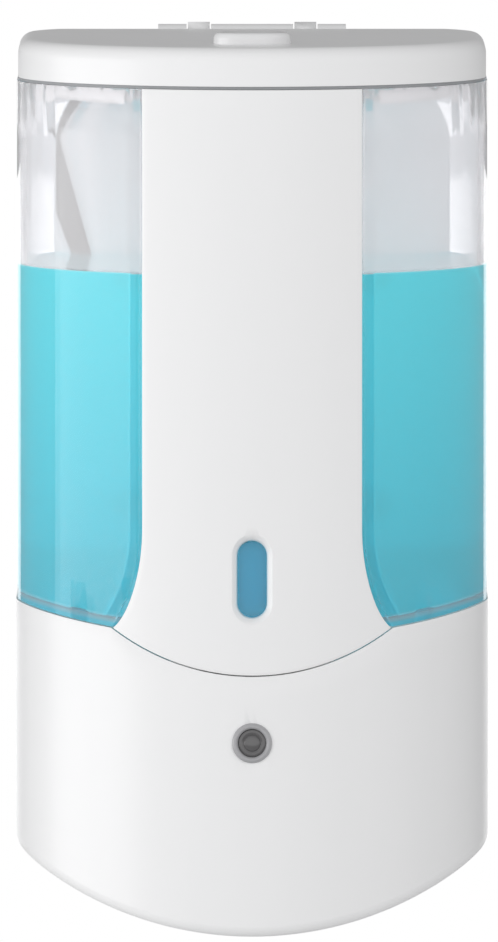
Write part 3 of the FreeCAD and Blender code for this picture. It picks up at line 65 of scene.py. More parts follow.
# ------------------------------------------------------------------ studio
# A pale floor well below the hanging dispenser, seen through from underneath, and a room that is
# brightest in front and dim behind. A wide soft light at the left leaves a streak down the glossy
# body. The camera is far away and looks slightly down.
low_corner, high_corner = (Vector(corner) for corner in cad_bounds)
middle = (low_corner + high_corner) / 2
camera_distance = 5.0
camera_rise = math.radians(3.6)
aim = middle + Vector((-0.7, 0, 0.75)) * MM
camera_data = bpy.data.cameras.new("studio_camera")
camera_data.lens = 842
camera_data.sensor_width = 36
camera_data.clip_end = 200
camera = bpy.data.objects.new("studio_camera", camera_data)
bpy.context.collection.objects.link(camera)
camera.location = aim + camera_distance * Vector((0, -math.cos(camera_rise), math.sin(camera_rise)))
camera.rotation_euler = (math.pi / 2 - camera_rise, 0, 0)
bpy.context.scene.camera = camera
bpy.context.scene.view_settings.view_transform = "Standard"


def soft_light(name, azimuth, elevation, distance, width, height, power):
    data = bpy.data.lights.new(name, "AREA")
    data.shape = "RECTANGLE"
    data.size = width
    data.size_y = height
    data.energy = power
    light = bpy.data.objects.new(name, data)
    bpy.context.collection.objects.link(light)
    turn, lift = math.radians(azimuth), math.radians(elevation)
    away = Vector((math.sin(turn) * math.cos(lift), -math.cos(turn) * math.cos(lift), math.sin(lift)))
    light.location = middle + distance * away
    light.rotation_euler = away.to_track_quat("Z", "Y").to_euler()
    return light


soft_light("left_light", -85, -2, 1.2, 1.2, 0.6, 4.4).data.use_shadow = False
soft_light("back_light", 180, -6, 1.5, 1.2, 0.3, 1.2)

def added(tree, kind, values=None, **settings):
    """A new node in a tree, with its settings and then its input values."""
    node = tree.nodes.new(kind)
    for label, value in settings.items():
        setattr(node, label, value)
    for label, value in (values or {}).items():
        node.inputs[label].default_value = value
    return node


def wired(tree, *pairs):
    """Links each output socket to the input socket paired with it."""
    for source, target in pairs:
        tree.links.new(source, target)


world = bpy.data.worlds.new("pale_room")
world.use_nodes = True
bpy.context.scene.world = world
sky = world.node_tree
sky_light = sky.nodes["Background"]
sky_axes = added(sky, "ShaderNodeSeparateXYZ")
sky_depth = added(sky, "ShaderNodeMapRange", {"From Min": -1})
sky_ramp = added(sky, "ShaderNodeValToRGB")
sky_ramp.color_ramp.elements.new(0.5)
for stop, level in zip(sky_ramp.color_ramp.elements, (1.0, 0.55, 0.22)):
    stop.color = (level, level, level * 1.005, 1)
sky_fall = added(sky, "ShaderNodeMapRange", {"From Min": 0.15, "To Min": 1.3, "To Max": 0.85})
sky_ray = added(sky, "ShaderNodeLightPath")
seen_colour = added(sky, "ShaderNodeMix", {"A": (0.84, 0.83, 0.87, 1), "B": (1, 1, 1, 1)}, data_type="RGBA")
seen_sky = added(sky, "ShaderNodeBackground")
sky_seen = added(sky, "ShaderNodeMath", operation="MAXIMUM")
sky_mix = added(sky, "ShaderNodeMixShader")
wired(sky,
      (added(sky, "ShaderNodeTexCoord").outputs["Generated"], sky_axes.inputs[0]),
      (sky_axes.outputs["Y"], sky_depth.inputs["Value"]),
      (sky_depth.outputs[0], sky_ramp.inputs["Fac"]),
      (sky_ramp.outputs["Color"], sky_light.inputs["Color"]),
      (sky_axes.outputs["Z"], sky_fall.inputs["Value"]),
      (sky_fall.outputs[0], sky_light.inputs["Strength"]),
      (sky_ray.outputs["Is Camera Ray"], seen_colour.inputs["Factor"]),
      (seen_colour.outputs["Result"], seen_sky.inputs["Color"]),
      (sky_ray.outputs["Is Camera Ray"], sky_seen.inputs[0]),
      (sky_ray.outputs["Is Transmission Ray"], sky_seen.inputs[1]),
      (sky_seen.outputs[0], sky_mix.inputs["Fac"]),
      (sky_light.outputs[0], sky_mix.inputs[1]),
      (seen_sky.outputs[0], sky_mix.inputs[2]),
      (sky_mix.outputs[0], sky.nodes["World Output"].inputs["Surface"]))

floor_reach = 1.3
floor_z = low_corner.z - 0.28
floor_mesh = bpy.data.meshes.new("studio_floor")
floor_mesh.from_pydata([(x * floor_reach, y * floor_reach, floor_z)
                        for x, y in ((-1, -1), (1, -1), (1, 1), (-1, 1))], [], [(0, 1, 2, 3)])
floor = bpy.data.objects.new("studio_floor", floor_mesh)
bpy.context.collection.objects.link(floor)
floor_paint = bpy.data.materials.new("floor_paint")
floor_paint.use_nodes = True
floor_tree = floor_paint.node_tree
floor_skin = floor_tree.nodes["Principled BSDF"]
floor_skin.inputs["Base Color"].default_value = (0.86, 0.86, 0.86, 1)
floor_skin.inputs["Roughness"].default_value = 0.7
floor_mix = added(floor_tree, "ShaderNodeMixShader")
wired(floor_tree,
      (added(floor_tree, "ShaderNodeNewGeometry").outputs["Backfacing"], floor_mix.inputs["Fac"]),
      (floor_skin.outputs[0], floor_mix.inputs[1]),
      (added(floor_tree, "ShaderNodeBsdfTransparent").outputs[0], floor_mix.inputs[2]),
      (floor_mix.outputs[0], floor_tree.nodes["Material Output"].inputs["Surface"]))
floor_mesh.materials.append(floor_paint)


# ------------------------------------------------------------------ white moulded shells
# Glossy white ABS, moulded in one colour. Its skin has a very fine grain, faint flow lines where
# the melt ran, and a gloss that changes a little where hands have wiped it.
def node_group(name, inputs, outputs):
    """A new shader node group with float inputs (name, value) and float outputs."""
    tree = bpy.data.node_groups.new(name, "ShaderNodeTree")
    for label, value in inputs:
        socket = tree.interface.new_socket(label, in_out="INPUT", socket_type="NodeSocketFloat")
        socket.default_value = value
    for label in outputs:
        tree.interface.new_socket(label, in_out="OUTPUT", socket_type="NodeSocketFloat")
    return tree, tree.nodes.new("NodeGroupInput"), tree.nodes.new("NodeGroupOutput")


def noise(tree, spot, size, detail, roughness):
    """A noise of one size, in patches per metre, on the given coordinates."""
    node = added(tree, "ShaderNodeTexNoise", {"Detail": detail, "Roughness": roughness})
    tree.links.new(spot, node.inputs["Vector"])
    if isinstance(size, (int, float)):
        node.inputs["Scale"].default_value = size
    else:
        tree.links.new(size, node.inputs["Scale"])
    return node.outputs["Fac"]


def worked(tree, operation, first, second):
    """A math node whose inputs are sockets or numbers."""
    node = added(tree, "ShaderNodeMath", operation=operation)
    for socket, value in zip(node.inputs, (first, second)):
        if isinstance(value, (int, float)):
            socket.default_value = value
        else:
            tree.links.new(value, socket)
    return node.outputs[0]


finish_group, finish_in, finish_out = node_group(
    "moulded_finish", [("Grain Size", 1600), ("Gloss", 0.3), ("Gloss Change", 0.1), ("Wipe Size", 22)],
    ["Roughness", "Height", "Shade"])
finish_spot = added(finish_group, "ShaderNodeTexCoord").outputs["Object"]
grain = noise(finish_group, finish_spot, finish_in.outputs["Grain Size"], 3.0, 0.6)
wiped = noise(finish_group, finish_spot, finish_in.outputs["Wipe Size"], 4.0, 0.55)
flow_way = added(finish_group, "ShaderNodeMapping", {"Scale": (1.0, 1.0, 0.12)})
finish_group.links.new(finish_spot, flow_way.inputs["Vector"])
flow = noise(finish_group, flow_way.outputs[0], 60, 3.0, 0.5)
change = worked(finish_group, "MULTIPLY", worked(finish_group, "SUBTRACT", wiped, 0.5),
                finish_in.outputs["Gloss Change"])
wired(finish_group,
      (worked(finish_group, "ADD", finish_in.outputs["Gloss"], change), finish_out.inputs["Roughness"]),
      (worked(finish_group, "ADD", grain, worked(finish_group, "MULTIPLY", flow, 0.8)),
       finish_out.inputs["Height"]),
      (flow, finish_out.inputs["Shade"]))


def new_material(name):
    """A material with its node tree and its Principled shader."""
    material = bpy.data.materials.new(name)
    material.use_nodes = True
    tree = material.node_tree
    return material, tree, tree.nodes["Principled BSDF"]


def finished(tree, skin, depth, values):
    """Lays the shared finish on a shader: an uneven gloss, and a grain of the given depth."""
    finish = added(tree, "ShaderNodeGroup", values, node_tree=finish_group)
    bump = added(tree, "ShaderNodeBump", {"Strength": depth, "Distance": 0.3 * MM})
    wired(tree,
          (finish.outputs["Roughness"], skin.inputs["Roughness"]),
          (finish.outputs["Height"], bump.inputs["Height"]),
          (bump.outputs[0], skin.inputs["Normal"]))
    return finish


def moulded(name, colour, second, gloss=0.3, change=0.1, grain_size=1600, depth=0.02, coat=0.0, metal=0.0,
            wipe_size=22):
    """A moulded or drawn surface: two close colours, a fine grain and an uneven gloss."""
    material, tree, skin = new_material(name)
    finish = finished(tree, skin, depth, {"Grain Size": grain_size, "Gloss": gloss, "Gloss Change": change,
                                          "Wipe Size": wipe_size})
    blend = added(tree, "ShaderNodeMix", {"A": (*colour, 1), "B": (*second, 1)}, data_type="RGBA")
    wired(tree, (finish.outputs["Shade"], blend.inputs["Factor"]),
          (blend.outputs["Result"], skin.inputs["Base Color"]))
    for label, value in (("Metallic", metal), ("Coat Weight", coat), ("Coat Roughness", 0.08)):
        skin.inputs[label].default_value = value
    return material


white_shell = moulded("white_shell", (0.87, 0.87, 0.872), (0.845, 0.847, 0.85), gloss=0.30, change=0.05)
white_inner = moulded("white_inner_plastic", (0.80, 0.80, 0.79), (0.76, 0.76, 0.75), gloss=0.5, change=0.12,
                      grain_size=900, depth=0.06)


def paint(material, *nodes):
    """Gives CAD nodes whose own shape is right their finish."""
    for node in nodes:
        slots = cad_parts[node].material_slots
        for slot in slots:
            slot.material = material
        if not slots:
            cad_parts[node].data.materials.append(material)


# ------------------------------------------------------------------ shared plan of the body
# Every moulded shell follows one plan: a flat back, two rounded rear corners, straight sides and a
# half-round front. Each shell is drawn round this plan at its own inset, then cut and hollowed.
def box(node):
    """The low and high corners of a CAD node."""
    return [Vector(corner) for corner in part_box(node)]


housing_low, housing_high = box("lower_housing")
rear_back = box("rear_housing")[1].y
body_half = housing_high.x
front_centre = housing_low.y + body_half
rear_corner = 24 * MM
corner_y = rear_back - rear_corner
corner_x = body_half - rear_corner
plan_middle = -44 * MM
FRONT_STEPS = 96
CORNER_STEPS = 20
SIDE_STEPS = 8


def plan(inset, marks=()):
    """The closed plan as (spot, outward way), from the rear right corner clockwise seen from above."""
    half = body_half - inset
    radius = rear_corner - inset
    turns = [math.pi / 2 * (1 - step / CORNER_STEPS) for step in range(CORNER_STEPS + 1)]
    right = [(Vector((corner_x + radius * math.cos(turn), corner_y + radius * math.sin(turn))),
              Vector((math.cos(turn), math.sin(turn)))) for turn in turns]
    right += [(Vector((half, corner_y + (front_centre - corner_y) * step / SIDE_STEPS)), Vector((1, 0)))
              for step in range(1, SIDE_STEPS)]
    angles = [math.pi * step / FRONT_STEPS for step in range(FRONT_STEPS + 1)]
    for mark in marks:
        for turn in (math.acos(mark / half), math.pi - math.acos(mark / half)):
            angles = [angle for angle in angles if abs(angle - turn) > 0.3 * math.pi / FRONT_STEPS] + [turn]
    front = [(Vector((half * math.cos(turn), front_centre - half * math.sin(turn))),
              Vector((math.cos(turn), -math.sin(turn)))) for turn in sorted(angles)]
    left = [(Vector((-spot.x, spot.y)), Vector((-way.x, way.y))) for spot, way in reversed(right)]
    back = [(Vector((corner_x * (2 * step / SIDE_STEPS - 1), rear_back - inset)), Vector((0, 1)))
            for step in range(1, SIDE_STEPS)]
    return right + front + left + back


def hull(name, inset, low, high, material, low_round=0.0, high_round=0.0, marks=(), dish=0.0):
    """A closed block on the body's plan; low and high give its lower and upper surface at each x."""
    outline = plan(inset, marks)
    rings = []
    centre = Vector((0, plan_middle))

    def level(surface, x):
        return surface(x) if callable(surface) else surface

    def cap(surface, rim, sink):
        shares = [ring / 9 for ring in range(1, 9)] + [0.96, 0.985]
        found = []
        for share in shares:
            ring = []
            for spot, way in outline:
                here = centre + (spot - way * rim - centre) * share
                dip = sink * min(1, (1 - share) * 18)
                ring.append(Vector((here.x, here.y, level(surface, here.x) - dip)))
            found.append(ring)
        return found

    def rim_rings(surface, rim, sign):
        """From the flat face, where the way is in by rim, to the wall, in a quarter turn."""
        found = []
        steps = 7
        for step in range(steps + 1):
            turn = math.pi / 2 * step / steps
            ring = []
            for spot, way in outline:
                here = spot - way * rim * (1 - math.sin(turn))
                slope_room = level(surface, spot.x - way.x * rim) * math.cos(turn) + \
                    level(surface, spot.x) * (1 - math.cos(turn))
                ring.append(Vector((here.x, here.y, slope_room + sign * rim * (1 - math.cos(turn)))))
            found.append(ring)
        return found

    def edge_ring(surface, rise):
        return [[Vector((spot.x, spot.y, level(surface, spot.x) + rise)) for spot, way in outline]]

    rings += cap(low, low_round, 0.0)
    rings += rim_rings(low, low_round, 1) if low_round else edge_ring(low, 0.0)
    walls = 10
    for step in range(1, walls):
        share = step / walls
        rings.append([Vector((spot.x, spot.y, (level(low, spot.x) + low_round) * (1 - share)
                              + (level(high, spot.x) - high_round) * share)) for spot, way in outline])
    rings += list(reversed(rim_rings(high, high_round, -1))) if high_round else edge_ring(high, 0.0)
    rings += list(reversed(cap(high, high_round, dish)))
    count = len(outline)
    points = [point for ring in rings for point in ring]
    faces = grid_faces(len(rings), count, True)
    for ring, surface, sink in ((0, low, 0.0), (len(rings) - 1, high, dish)):
        hub = len(points)
        points.append(Vector((centre.x, centre.y, level(surface, 0.0) - sink)))
        first = ring * count
        faces += [(first + column, first + (column + 1) % count, hub) for column in range(count)]
    return outward(mesh_piece(name, points, faces, material))


def mesh_piece(name, points, faces, material):
    """A mesh piece from points and faces, in one material."""
    mesh = bpy.data.meshes.new(name)
    mesh.from_pydata([tuple(point) for point in points], [], faces)
    mesh.validate()
    mesh.materials.append(material)
    item = bpy.data.objects.new(name, mesh)
    bpy.context.collection.objects.link(item)
    return item


def grid_faces(rows, columns, wrap):
    """Quads over rows of points; wrap joins each row's last point to its first."""
    faces = []
    for row in range(rows - 1):
        for column in range(columns if wrap else columns - 1):
            following = (column + 1) % columns
            here = row * columns
            above = here + columns
            faces.append((here + column, here + following, above + following, above + column))
    return faces


def loft(name, rings, material):
    """A closed piece through rings of points, with a flat cap at each end."""
    count = len(rings[0])
    points = [point for ring in rings for point in ring]
    faces = grid_faces(len(rings), count, True)
    faces.append(tuple(reversed(range(count))))
    faces.append(tuple(range(len(points) - count, len(points))))
    return outward(mesh_piece(name, points, faces, material))


def outward(item):
    """Merges doubled points and turns all the faces outwards."""
    work = bmesh.new()
    work.from_mesh(item.data)
    bmesh.ops.remove_doubles(work, verts=work.verts, dist=0.002 * MM)
    bmesh.ops.dissolve_degenerate(work, edges=work.edges, dist=0.001 * MM)
    bmesh.ops.recalc_face_normals(work, faces=work.faces)
    work.to_mesh(item.data)
    work.free()
    return item


def baked(item, crisp=35):
    """Turns the modifiers into the mesh itself and shades it."""
    graph = bpy.context.evaluated_depsgraph_get()
    mesh = bpy.data.meshes.new_from_object(item.evaluated_get(graph))
    item.modifiers.clear()
    item.data = mesh
    mesh.shade_smooth()
    mesh.set_sharp_from_angle(angle=math.radians(crisp))
    return item


def combine(item, tools, operation="DIFFERENCE"):
    """Cuts tools away from a piece, or joins them to it, and removes the tools."""
    for tool in tools:
        step = item.modifiers.new("work", "BOOLEAN")
        step.operation = operation
        step.solver = "EXACT"
        step.object = tool
    baked(item)
    for tool in tools:
        bpy.data.objects.remove(tool)
    return item


def softened(item, width, segments=2, angle=40):
    """Small rounded edges, as a mould leaves them, with evenly weighted shading."""
    edge = item.modifiers.new("edge", "BEVEL")
    edge.width = width
    edge.segments = segments
    edge.limit_method = "ANGLE"
    edge.angle_limit = math.radians(angle)
    edge.miter_outer = "MITER_ARC"
    weigh = item.modifiers.new("weigh", "WEIGHTED_NORMAL")
    weigh.keep_sharp = True
    weigh.weight = 60
    return baked(item, 50)


def offset(outline, distance):
    """A closed outline of 2-D points (anticlockwise) moved inwards by a distance."""
    moved = []
    for before, spot, after in zip(outline[-1:] + outline[:-1], outline, outline[1:] + outline[:1]):
        way_in = (spot - before).normalized()
        way_out = (after - spot).normalized()
        inward = Vector((-way_in.y - way_out.y, way_in.x + way_out.x))
        share = max(0.35, 1 + way_in.dot(way_out))
        moved.append(spot + inward * distance / share)
    return moved


def placed(outline, level, axis="Z"):
    """A 2-D outline put into space at a level along an axis."""
    if axis == "Z":
        return [Vector((spot.x, spot.y, level)) for spot in outline]
    if axis == "Y":
        return [Vector((spot.x, level, spot.y)) for spot in outline]
    return [Vector((level, spot.x, spot.y)) for spot in outline]


def prism(name, outline, low, high, material, axis="Z", low_round=0.0, high_round=0.0, steps=5):
    """An outline drawn from low to high, with rounded rims."""
    rings = []
    for turn in range(steps + 1 if low_round else 1):
        angle = math.pi / 2 * turn / steps if low_round else math.pi / 2
        rings.append(placed(offset(outline, low_round * (1 - math.sin(angle))),
                            low + low_round * (1 - math.cos(angle)) if low_round else low, axis))
    for turn in range(steps + 1 if high_round else 1):
        angle = math.pi / 2 * turn / steps if high_round else 0.0
        rings.append(placed(offset(outline, high_round * (1 - math.cos(angle))),
                            high - high_round * (1 - math.sin(angle)) if high_round else high, axis))
    return loft(name, rings, material)


def obround(width, length, x=0.0, y=0.0, steps=16):
    """A slot outline, longest along x when width is the larger."""
    reach = abs(width - length) / 2
    radius = min(width, length) / 2
    along_x = width > length
    outline = []
    for step in range(2 * steps + 2):
        end = 1 if step <= steps else -1
        turn = math.pi * ((step - (steps + 1 if end < 0 else 0)) / steps) + (0 if end > 0 else math.pi)
        turn -= math.pi / 2 if along_x else 0
        shift = Vector((end * reach, 0)) if along_x else Vector((0, end * reach))
        outline.append(Vector((x, y)) + shift + radius * Vector((math.cos(turn), math.sin(turn))))
    return outline


def rectangle(x_low, x_high, y_low, y_high, radius=0.0, steps=6):
    """A rectangle outline with rounded corners."""
    if not radius:
        return [Vector((x_low, y_low)), Vector((x_high, y_low)), Vector((x_high, y_high)),
                Vector((x_low, y_high))]
    outline = []
    for index, (x, y) in enumerate(((x_low + radius, y_low + radius), (x_high - radius, y_low + radius),
                                    (x_high - radius, y_high - radius), (x_low + radius, y_high - radius))):
        for step in range(steps + 1):
            turn = math.pi + math.pi / 2 * (index + step / steps)
            outline.append(Vector((x + radius * math.cos(turn), y + radius * math.sin(turn))))
    return outline


def circle(radius, x=0.0, y=0.0, steps=48):
    """A round outline."""
    turns = [2 * math.pi * step / steps for step in range(steps)]
    return [Vector((x + radius * math.cos(turn), y + radius * math.sin(turn))) for turn in turns]


def block(name, low, high, material=None):
    """A plain cutting block between two corners."""
    outline = rectangle(low[0], high[0], low[1], high[1])
    return prism(name, outline, low[2], high[2], material or white_inner)


FAR = 200 * MM  # well outside the dispenser


def back_cut(level, material=None):
    """A cutting block that takes away all that lies behind a level."""
    return block("back_cut", (-FAR, level, -FAR), (FAR, FAR, FAR), material)


def fitted(item, node, body):
    """Puts a finished piece in a CAD node's place, hiding the node, and rides it on the node's body."""
    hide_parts(node)
    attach(item, body)
    return item


# ------------------------------------------------------------------ lower housing
# The white bowl-like base shell: half-round front, straight sides, arched bottom with a rounded
# foot, 2.2 mm walls. The nozzle, hand sensor, switch and battery door come through its bottom.
shell_wall = 2.2 * MM
seam_gap = 0.3 * MM
bottom_z = housing_low.z
bottom_rise = 17.8 * MM
bottom_radius = (body_half ** 2 + bottom_rise ** 2) / (2 * bottom_rise)
foot_round = 2.4 * MM
tank_edge = 72.9 * MM
tank_sag = 5.9 * MM
tank_floor = bottom_z + tank_edge - tank_sag
tank_radius = (body_half ** 2 + tank_sag ** 2) / (2 * tank_sag)
panel_seam = bottom_z + 58.7 * MM
panel_seam_radius = 53.8 * MM
housing_back = housing_high.y


def arc_height(low, radius, x, lift=0.0):
    """The height at x of a round-bottomed arc whose lowest point is at low, moved inwards by lift."""
    inner = radius - lift
    return low + radius - math.sqrt(inner ** 2 - min(abs(x), inner * 0.999) ** 2)


def housing_top(x):
    """The housing's upper edge: the tank's arc, or the panel's round seam where that is lower."""
    return min(arc_height(tank_floor, tank_radius, x), arc_height(panel_seam, panel_seam_radius, x))


seam_meeting = next(step * MM / 50 for step in range(1000, 2500)
                    if arc_height(panel_seam, panel_seam_radius, step * MM / 50)
                    > arc_height(tank_floor, tank_radius, step * MM / 50))


def bottom(lift=0.0):
    """The arched bottom as a surface, moved inwards by lift."""
    return lambda x: arc_height(bottom_z, bottom_radius, x, lift)


lower_housing = hull("lower_housing_shell", 0.0, bottom(), housing_top, white_shell, low_round=foot_round,
                     marks=(seam_meeting,))
hollow = hull("hollow", shell_wall, bottom(shell_wall), 0.0, white_inner)
door_low, door_high = box("battery_door")
door_half = -door_low.x
door_front, door_back = door_low.y + 1.8 * MM, door_high.y - 1.8 * MM
door_gap = 0.3 * MM
nozzle_low, nozzle_high = box("nozzle")
nozzle_y = (nozzle_low.y + nozzle_high.y) / 2
eye_low, eye_high = box("eye_bezel")
eye_z = (eye_low.z + eye_high.z) / 2
sensor_low, sensor_high = box("sensor_window")
sensor_y = (sensor_low.y + sensor_high.y) / 2
knob_low, knob_high = box("switch_knob")
hole_fit = 0.2 * MM
combine(lower_housing, [
    hollow,
    back_cut(housing_back),
    prism("door_cut", rectangle(-door_half - door_gap, door_half, door_front - door_gap, door_back + door_gap,
                                1.0 * MM), -FAR, bottom_z + 12 * MM, white_inner),
    prism("nozzle_cut", circle(5.2 * MM + hole_fit, 0, nozzle_y, 64), -FAR, bottom_z + 10 * MM, white_inner),
    prism("sensor_cut", obround(15 * MM + 2 * hole_fit, 5.6 * MM + 2 * hole_fit, 0, sensor_y), -FAR,
          bottom_z + 10 * MM, white_inner),
    prism("switch_cut", rectangle(knob_low.x - 2 * hole_fit, -knob_low.x + 2 * hole_fit,
                                  knob_low.y - hole_fit, knob_high.y + hole_fit, 0.5 * MM), -FAR,
          bottom_z + 5 * MM, white_inner),
    prism("eye_cut", circle(3.8 * MM + hole_fit, 0, eye_z, 48), -FAR, -100 * MM, white_inner, axis="Y")])
deck_plate_low = bottom_z + 60 * MM
post_spots = [(side * x * MM, y * MM) for side in (-1, 1) for x, y in ((34, -88), (44.5, -27))]
boss_levels = [bottom_z + level * MM for level in (31, 51)]
post_radius, boss_radius, boss_depth = 3.6 * MM, 3.2 * MM, 13 * MM
supports = [prism("post", circle(post_radius, x, y, 32), bottom_z, deck_plate_low, white_inner)
            for x, y in post_spots]
for side in (-1, 1):
    for level in boss_levels:
        supports.append(prism("boss", circle(boss_radius, side * 36 * MM, level, 32),
                              housing_back - boss_depth, housing_back, white_inner, axis="Y"))
        inner, outer = sorted((side * 38 * MM, side * FAR))
        supports.append(block("web", (inner, housing_back - boss_depth, level - MM),
                              (outer, housing_back, level + MM)))
for support in supports:
    combine(support, [hull("core", MM, bottom(MM), deck_plate_low, white_inner)], "INTERSECT")
combine(lower_housing, supports, "UNION")
softened(lower_housing, 0.25 * MM)
fitted(lower_housing, "lower_housing", "dispenser")

# ------------------------------------------------------------------ front panel
# A white strip that hugs the tank's front, flared at its foot down to the round seam over the
# lower housing. A bevelled slot near its foot shows the soap.
panel_low, panel_high = box("front_panel")
panel_half = 24.7 * MM
flare_radius = 41.5 * MM
flare_z = bottom_z + 91.5 * MM


def panel_outline(grow, top, foot):
    """The panel seen from the front, grown by grow and open to a straight foot."""
    radius = flare_radius - grow
    centre_x = panel_half + flare_radius
    right = [Vector((panel_half + grow, top))]
    steps = 40
    drop = flare_z - foot
    for step in range(steps + 1):
        turn = math.asin(min(1, drop / radius)) * step / steps
        right.append(Vector((centre_x - radius * math.cos(turn), flare_z - radius * math.sin(turn))))
    left = [Vector((-spot.x, spot.y)) for spot in reversed(right)]
    return list(reversed(right + left))


panel_edge_steps = 24
panel_rows = 54
flare_foot = panel_low.z + 10.1 * MM
points = []
for row in range(panel_rows + 1):
    share = row / panel_rows
    level = flare_foot + (panel_high.z - flare_foot) * share ** 1.35
    drop = max(0.0, flare_z - level)
    half_here = panel_half + flare_radius - math.sqrt(flare_radius ** 2 - drop ** 2)
    fade = max(0.0, 1 - (level - flare_foot) / (26 * MM)) ** 2
    for column in range(2 * panel_edge_steps + 1):
        x = half_here * (column / panel_edge_steps - 1)
        seam = arc_height(panel_seam, panel_seam_radius, x, seam_gap)
        z = level + fade * (seam - flare_foot)
        points.append(Vector((x, front_centre - math.sqrt(body_half ** 2 - x ** 2), z)))
front_panel = mesh_piece("front_panel_shell", points,
                         grid_faces(panel_rows + 1, 2 * panel_edge_steps + 1, False), white_shell)
thick = front_panel.modifiers.new("thickness", "SOLIDIFY")
thick.thickness = shell_wall
thick.offset = -1
baked(front_panel)
outward(front_panel)
window_low, window_high = box("sight_window")
window_z = (window_low.z + window_high.z) / 2
window_width = 6.6 * MM
window_length = 17.3 * MM
front_y = housing_low.y
slot_rings = []
for level, grow in ((-4, 5.5), (0, 1.5), (0.45, 0.95), (1.0, 0.35), (1.5, 0.0), (8, 0.0)):
    ring = obround(window_width + 2 * grow * MM, window_length + 2 * grow * MM, 0, window_z, 24)
    slot_rings.append(placed(ring, front_y + level * MM, "Y"))
combine(front_panel, [loft("slot_cut", slot_rings, white_shell)])
softened(front_panel, 0.22 * MM)
fitted(front_panel, "front_panel", "dispenser")

# ------------------------------------------------------------------ tank
# A clear moulded tank, open at the top, with a hull-shaped floor. Its front steps in behind the
# panel, and a nipple under its floor carries the outlet. Where the wall is dry it has a slight
# haze; where soap wets it, it is clearer, and its thick foot takes the soap's colour.
def lamp_through(tree, skin, colour):
    """Lets shadow and diffuse rays pass straight through a clear shader."""
    passing = added(tree, "ShaderNodeBsdfTransparent", {"Color": (*colour, 1)})
    ray = added(tree, "ShaderNodeLightPath")
    mix = added(tree, "ShaderNodeMixShader")
    either = worked(tree, "MAXIMUM", ray.outputs["Is Shadow Ray"], ray.outputs["Is Diffuse Ray"])
    wired(tree, (either, mix.inputs["Fac"]), (skin.outputs[0], mix.inputs[1]),
          (passing.outputs[0], mix.inputs[2]),
          (mix.outputs[0], tree.nodes["Material Output"].inputs["Surface"]))


def clear_plastic(name, tint, gloss, bend):
    """Clear moulded plastic that lets lamp light through to what lies behind it."""
    material, tree, skin = new_material(name)
    for label, value in (("Base Color", (*tint, 1)), ("Transmission Weight", 1.0), ("IOR", bend)):
        skin.inputs[label].default_value = value
    finished(tree, skin, 0.01, {"Grain Size": 90, "Gloss": gloss, "Gloss Change": gloss})
    lamp_through(tree, skin, tint)
    return material


tank_tint = (0.985, 0.980, 0.992)
clear_tank = clear_plastic("clear_tank", tank_tint, 0.03, 1.25)
tank_low, tank_high = box("tank")
soap_low, soap_high = box("liquid_soap")
wall_tree = clear_tank.node_tree
wall_skin = wall_tree.nodes["Principled BSDF"]
wall_axes = added(wall_tree, "ShaderNodeSeparateXYZ")
wall_wet = added(wall_tree, "ShaderNodeMapRange", {
    "From Min": soap_high.z - 0.4 * MM, "From Max": soap_high.z + 0.6 * MM, "To Min": 0.95, "To Max": 0.70})
wall_sag = worked(wall_tree, "MULTIPLY",
                  worked(wall_tree, "MULTIPLY", wall_axes.outputs["X"], wall_axes.outputs["X"]),
                  0.5 / tank_radius)
wall_foot = added(wall_tree, "ShaderNodeMapRange", {
    "From Min": tank_floor + 1.1 * MM, "From Max": tank_floor + 3.2 * MM, "To Min": 1.0, "To Max": 0.0})
wall_blend = added(wall_tree, "ShaderNodeMix", {"A": (*tank_tint, 1), "B": (0.16, 0.62, 0.78, 1)},
                   data_type="RGBA")
foot_haze = worked(wall_tree, "MULTIPLY", wall_foot.outputs[0], 0.6)
wired(wall_tree,
      (added(wall_tree, "ShaderNodeTexCoord").outputs["Object"], wall_axes.inputs[0]),
      (wall_axes.outputs["Z"], wall_wet.inputs["Value"]),
      (worked(wall_tree, "SUBTRACT", wall_axes.outputs["Z"], wall_sag), wall_foot.inputs["Value"]),
      (wall_foot.outputs[0], wall_blend.inputs["Factor"]),
      (wall_blend.outputs["Result"], wall_skin.inputs["Base Color"]),
      (worked(wall_tree, "SUBTRACT", wall_wet.outputs[0], foot_haze),
       wall_skin.inputs["Transmission Weight"]))
tank_inset = 0.25 * MM
tank_wall = 2.2 * MM
panel_step = shell_wall + seam_gap


def tank_form(name, inset, back, lift, grow, step, top, material, dish=0.0):
    """The tank's outer or inner form: a hull with a step behind the panel and a flat back."""
    form = hull(name, inset, lambda x: arc_height(tank_floor, tank_radius, x, lift), top, material, dish=dish)
    strip = prism("strip", panel_outline(grow, tank_high.z + 30 * MM, tank_floor - 6 * MM), -FAR,
                  front_centre, material, axis="Y")
    combine(strip, [hull("core", step, bottom_z, tank_high.z + 60 * MM, material)])
    return combine(form, [strip, back_cut(back, material)])


tank = tank_form("clear_tank_shell", tank_inset, housing_back, seam_gap, seam_gap, panel_step, tank_high.z,
                 clear_tank)
tank_room = tank_form("tank_room", tank_inset + tank_wall, housing_back - tank_wall, seam_gap + tank_wall,
                      seam_gap + tank_wall, panel_step + tank_wall, tank_high.z + 10 * MM, clear_tank)
tube_low, tube_high = box("inlet_tube")
outlet_y = (tube_low.y + tube_high.y) / 2
nipple_radius = 3.5 * MM
nipple = prism("nipple", circle(nipple_radius, 0, outlet_y, 40), tank_low.z, tank_floor + 1.5 * MM,
               clear_tank, low_round=0.4 * MM)
combine(tank, [tank_room])
combine(tank, [nipple], "UNION")
catch_low, catch_high = box("latch_bolt")
combine(tank, [
    prism("outlet", circle(nipple_radius - 1.3 * MM, 0, outlet_y, 40), tank_low.z - 10 * MM,
          tank_floor + 10 * MM, clear_tank),
    block("catch", (-5.2 * MM, catch_low.y - 0.5 * MM, catch_low.z - 0.2 * MM), (5.2 * MM, -100 * MM, FAR),
          clear_tank)])
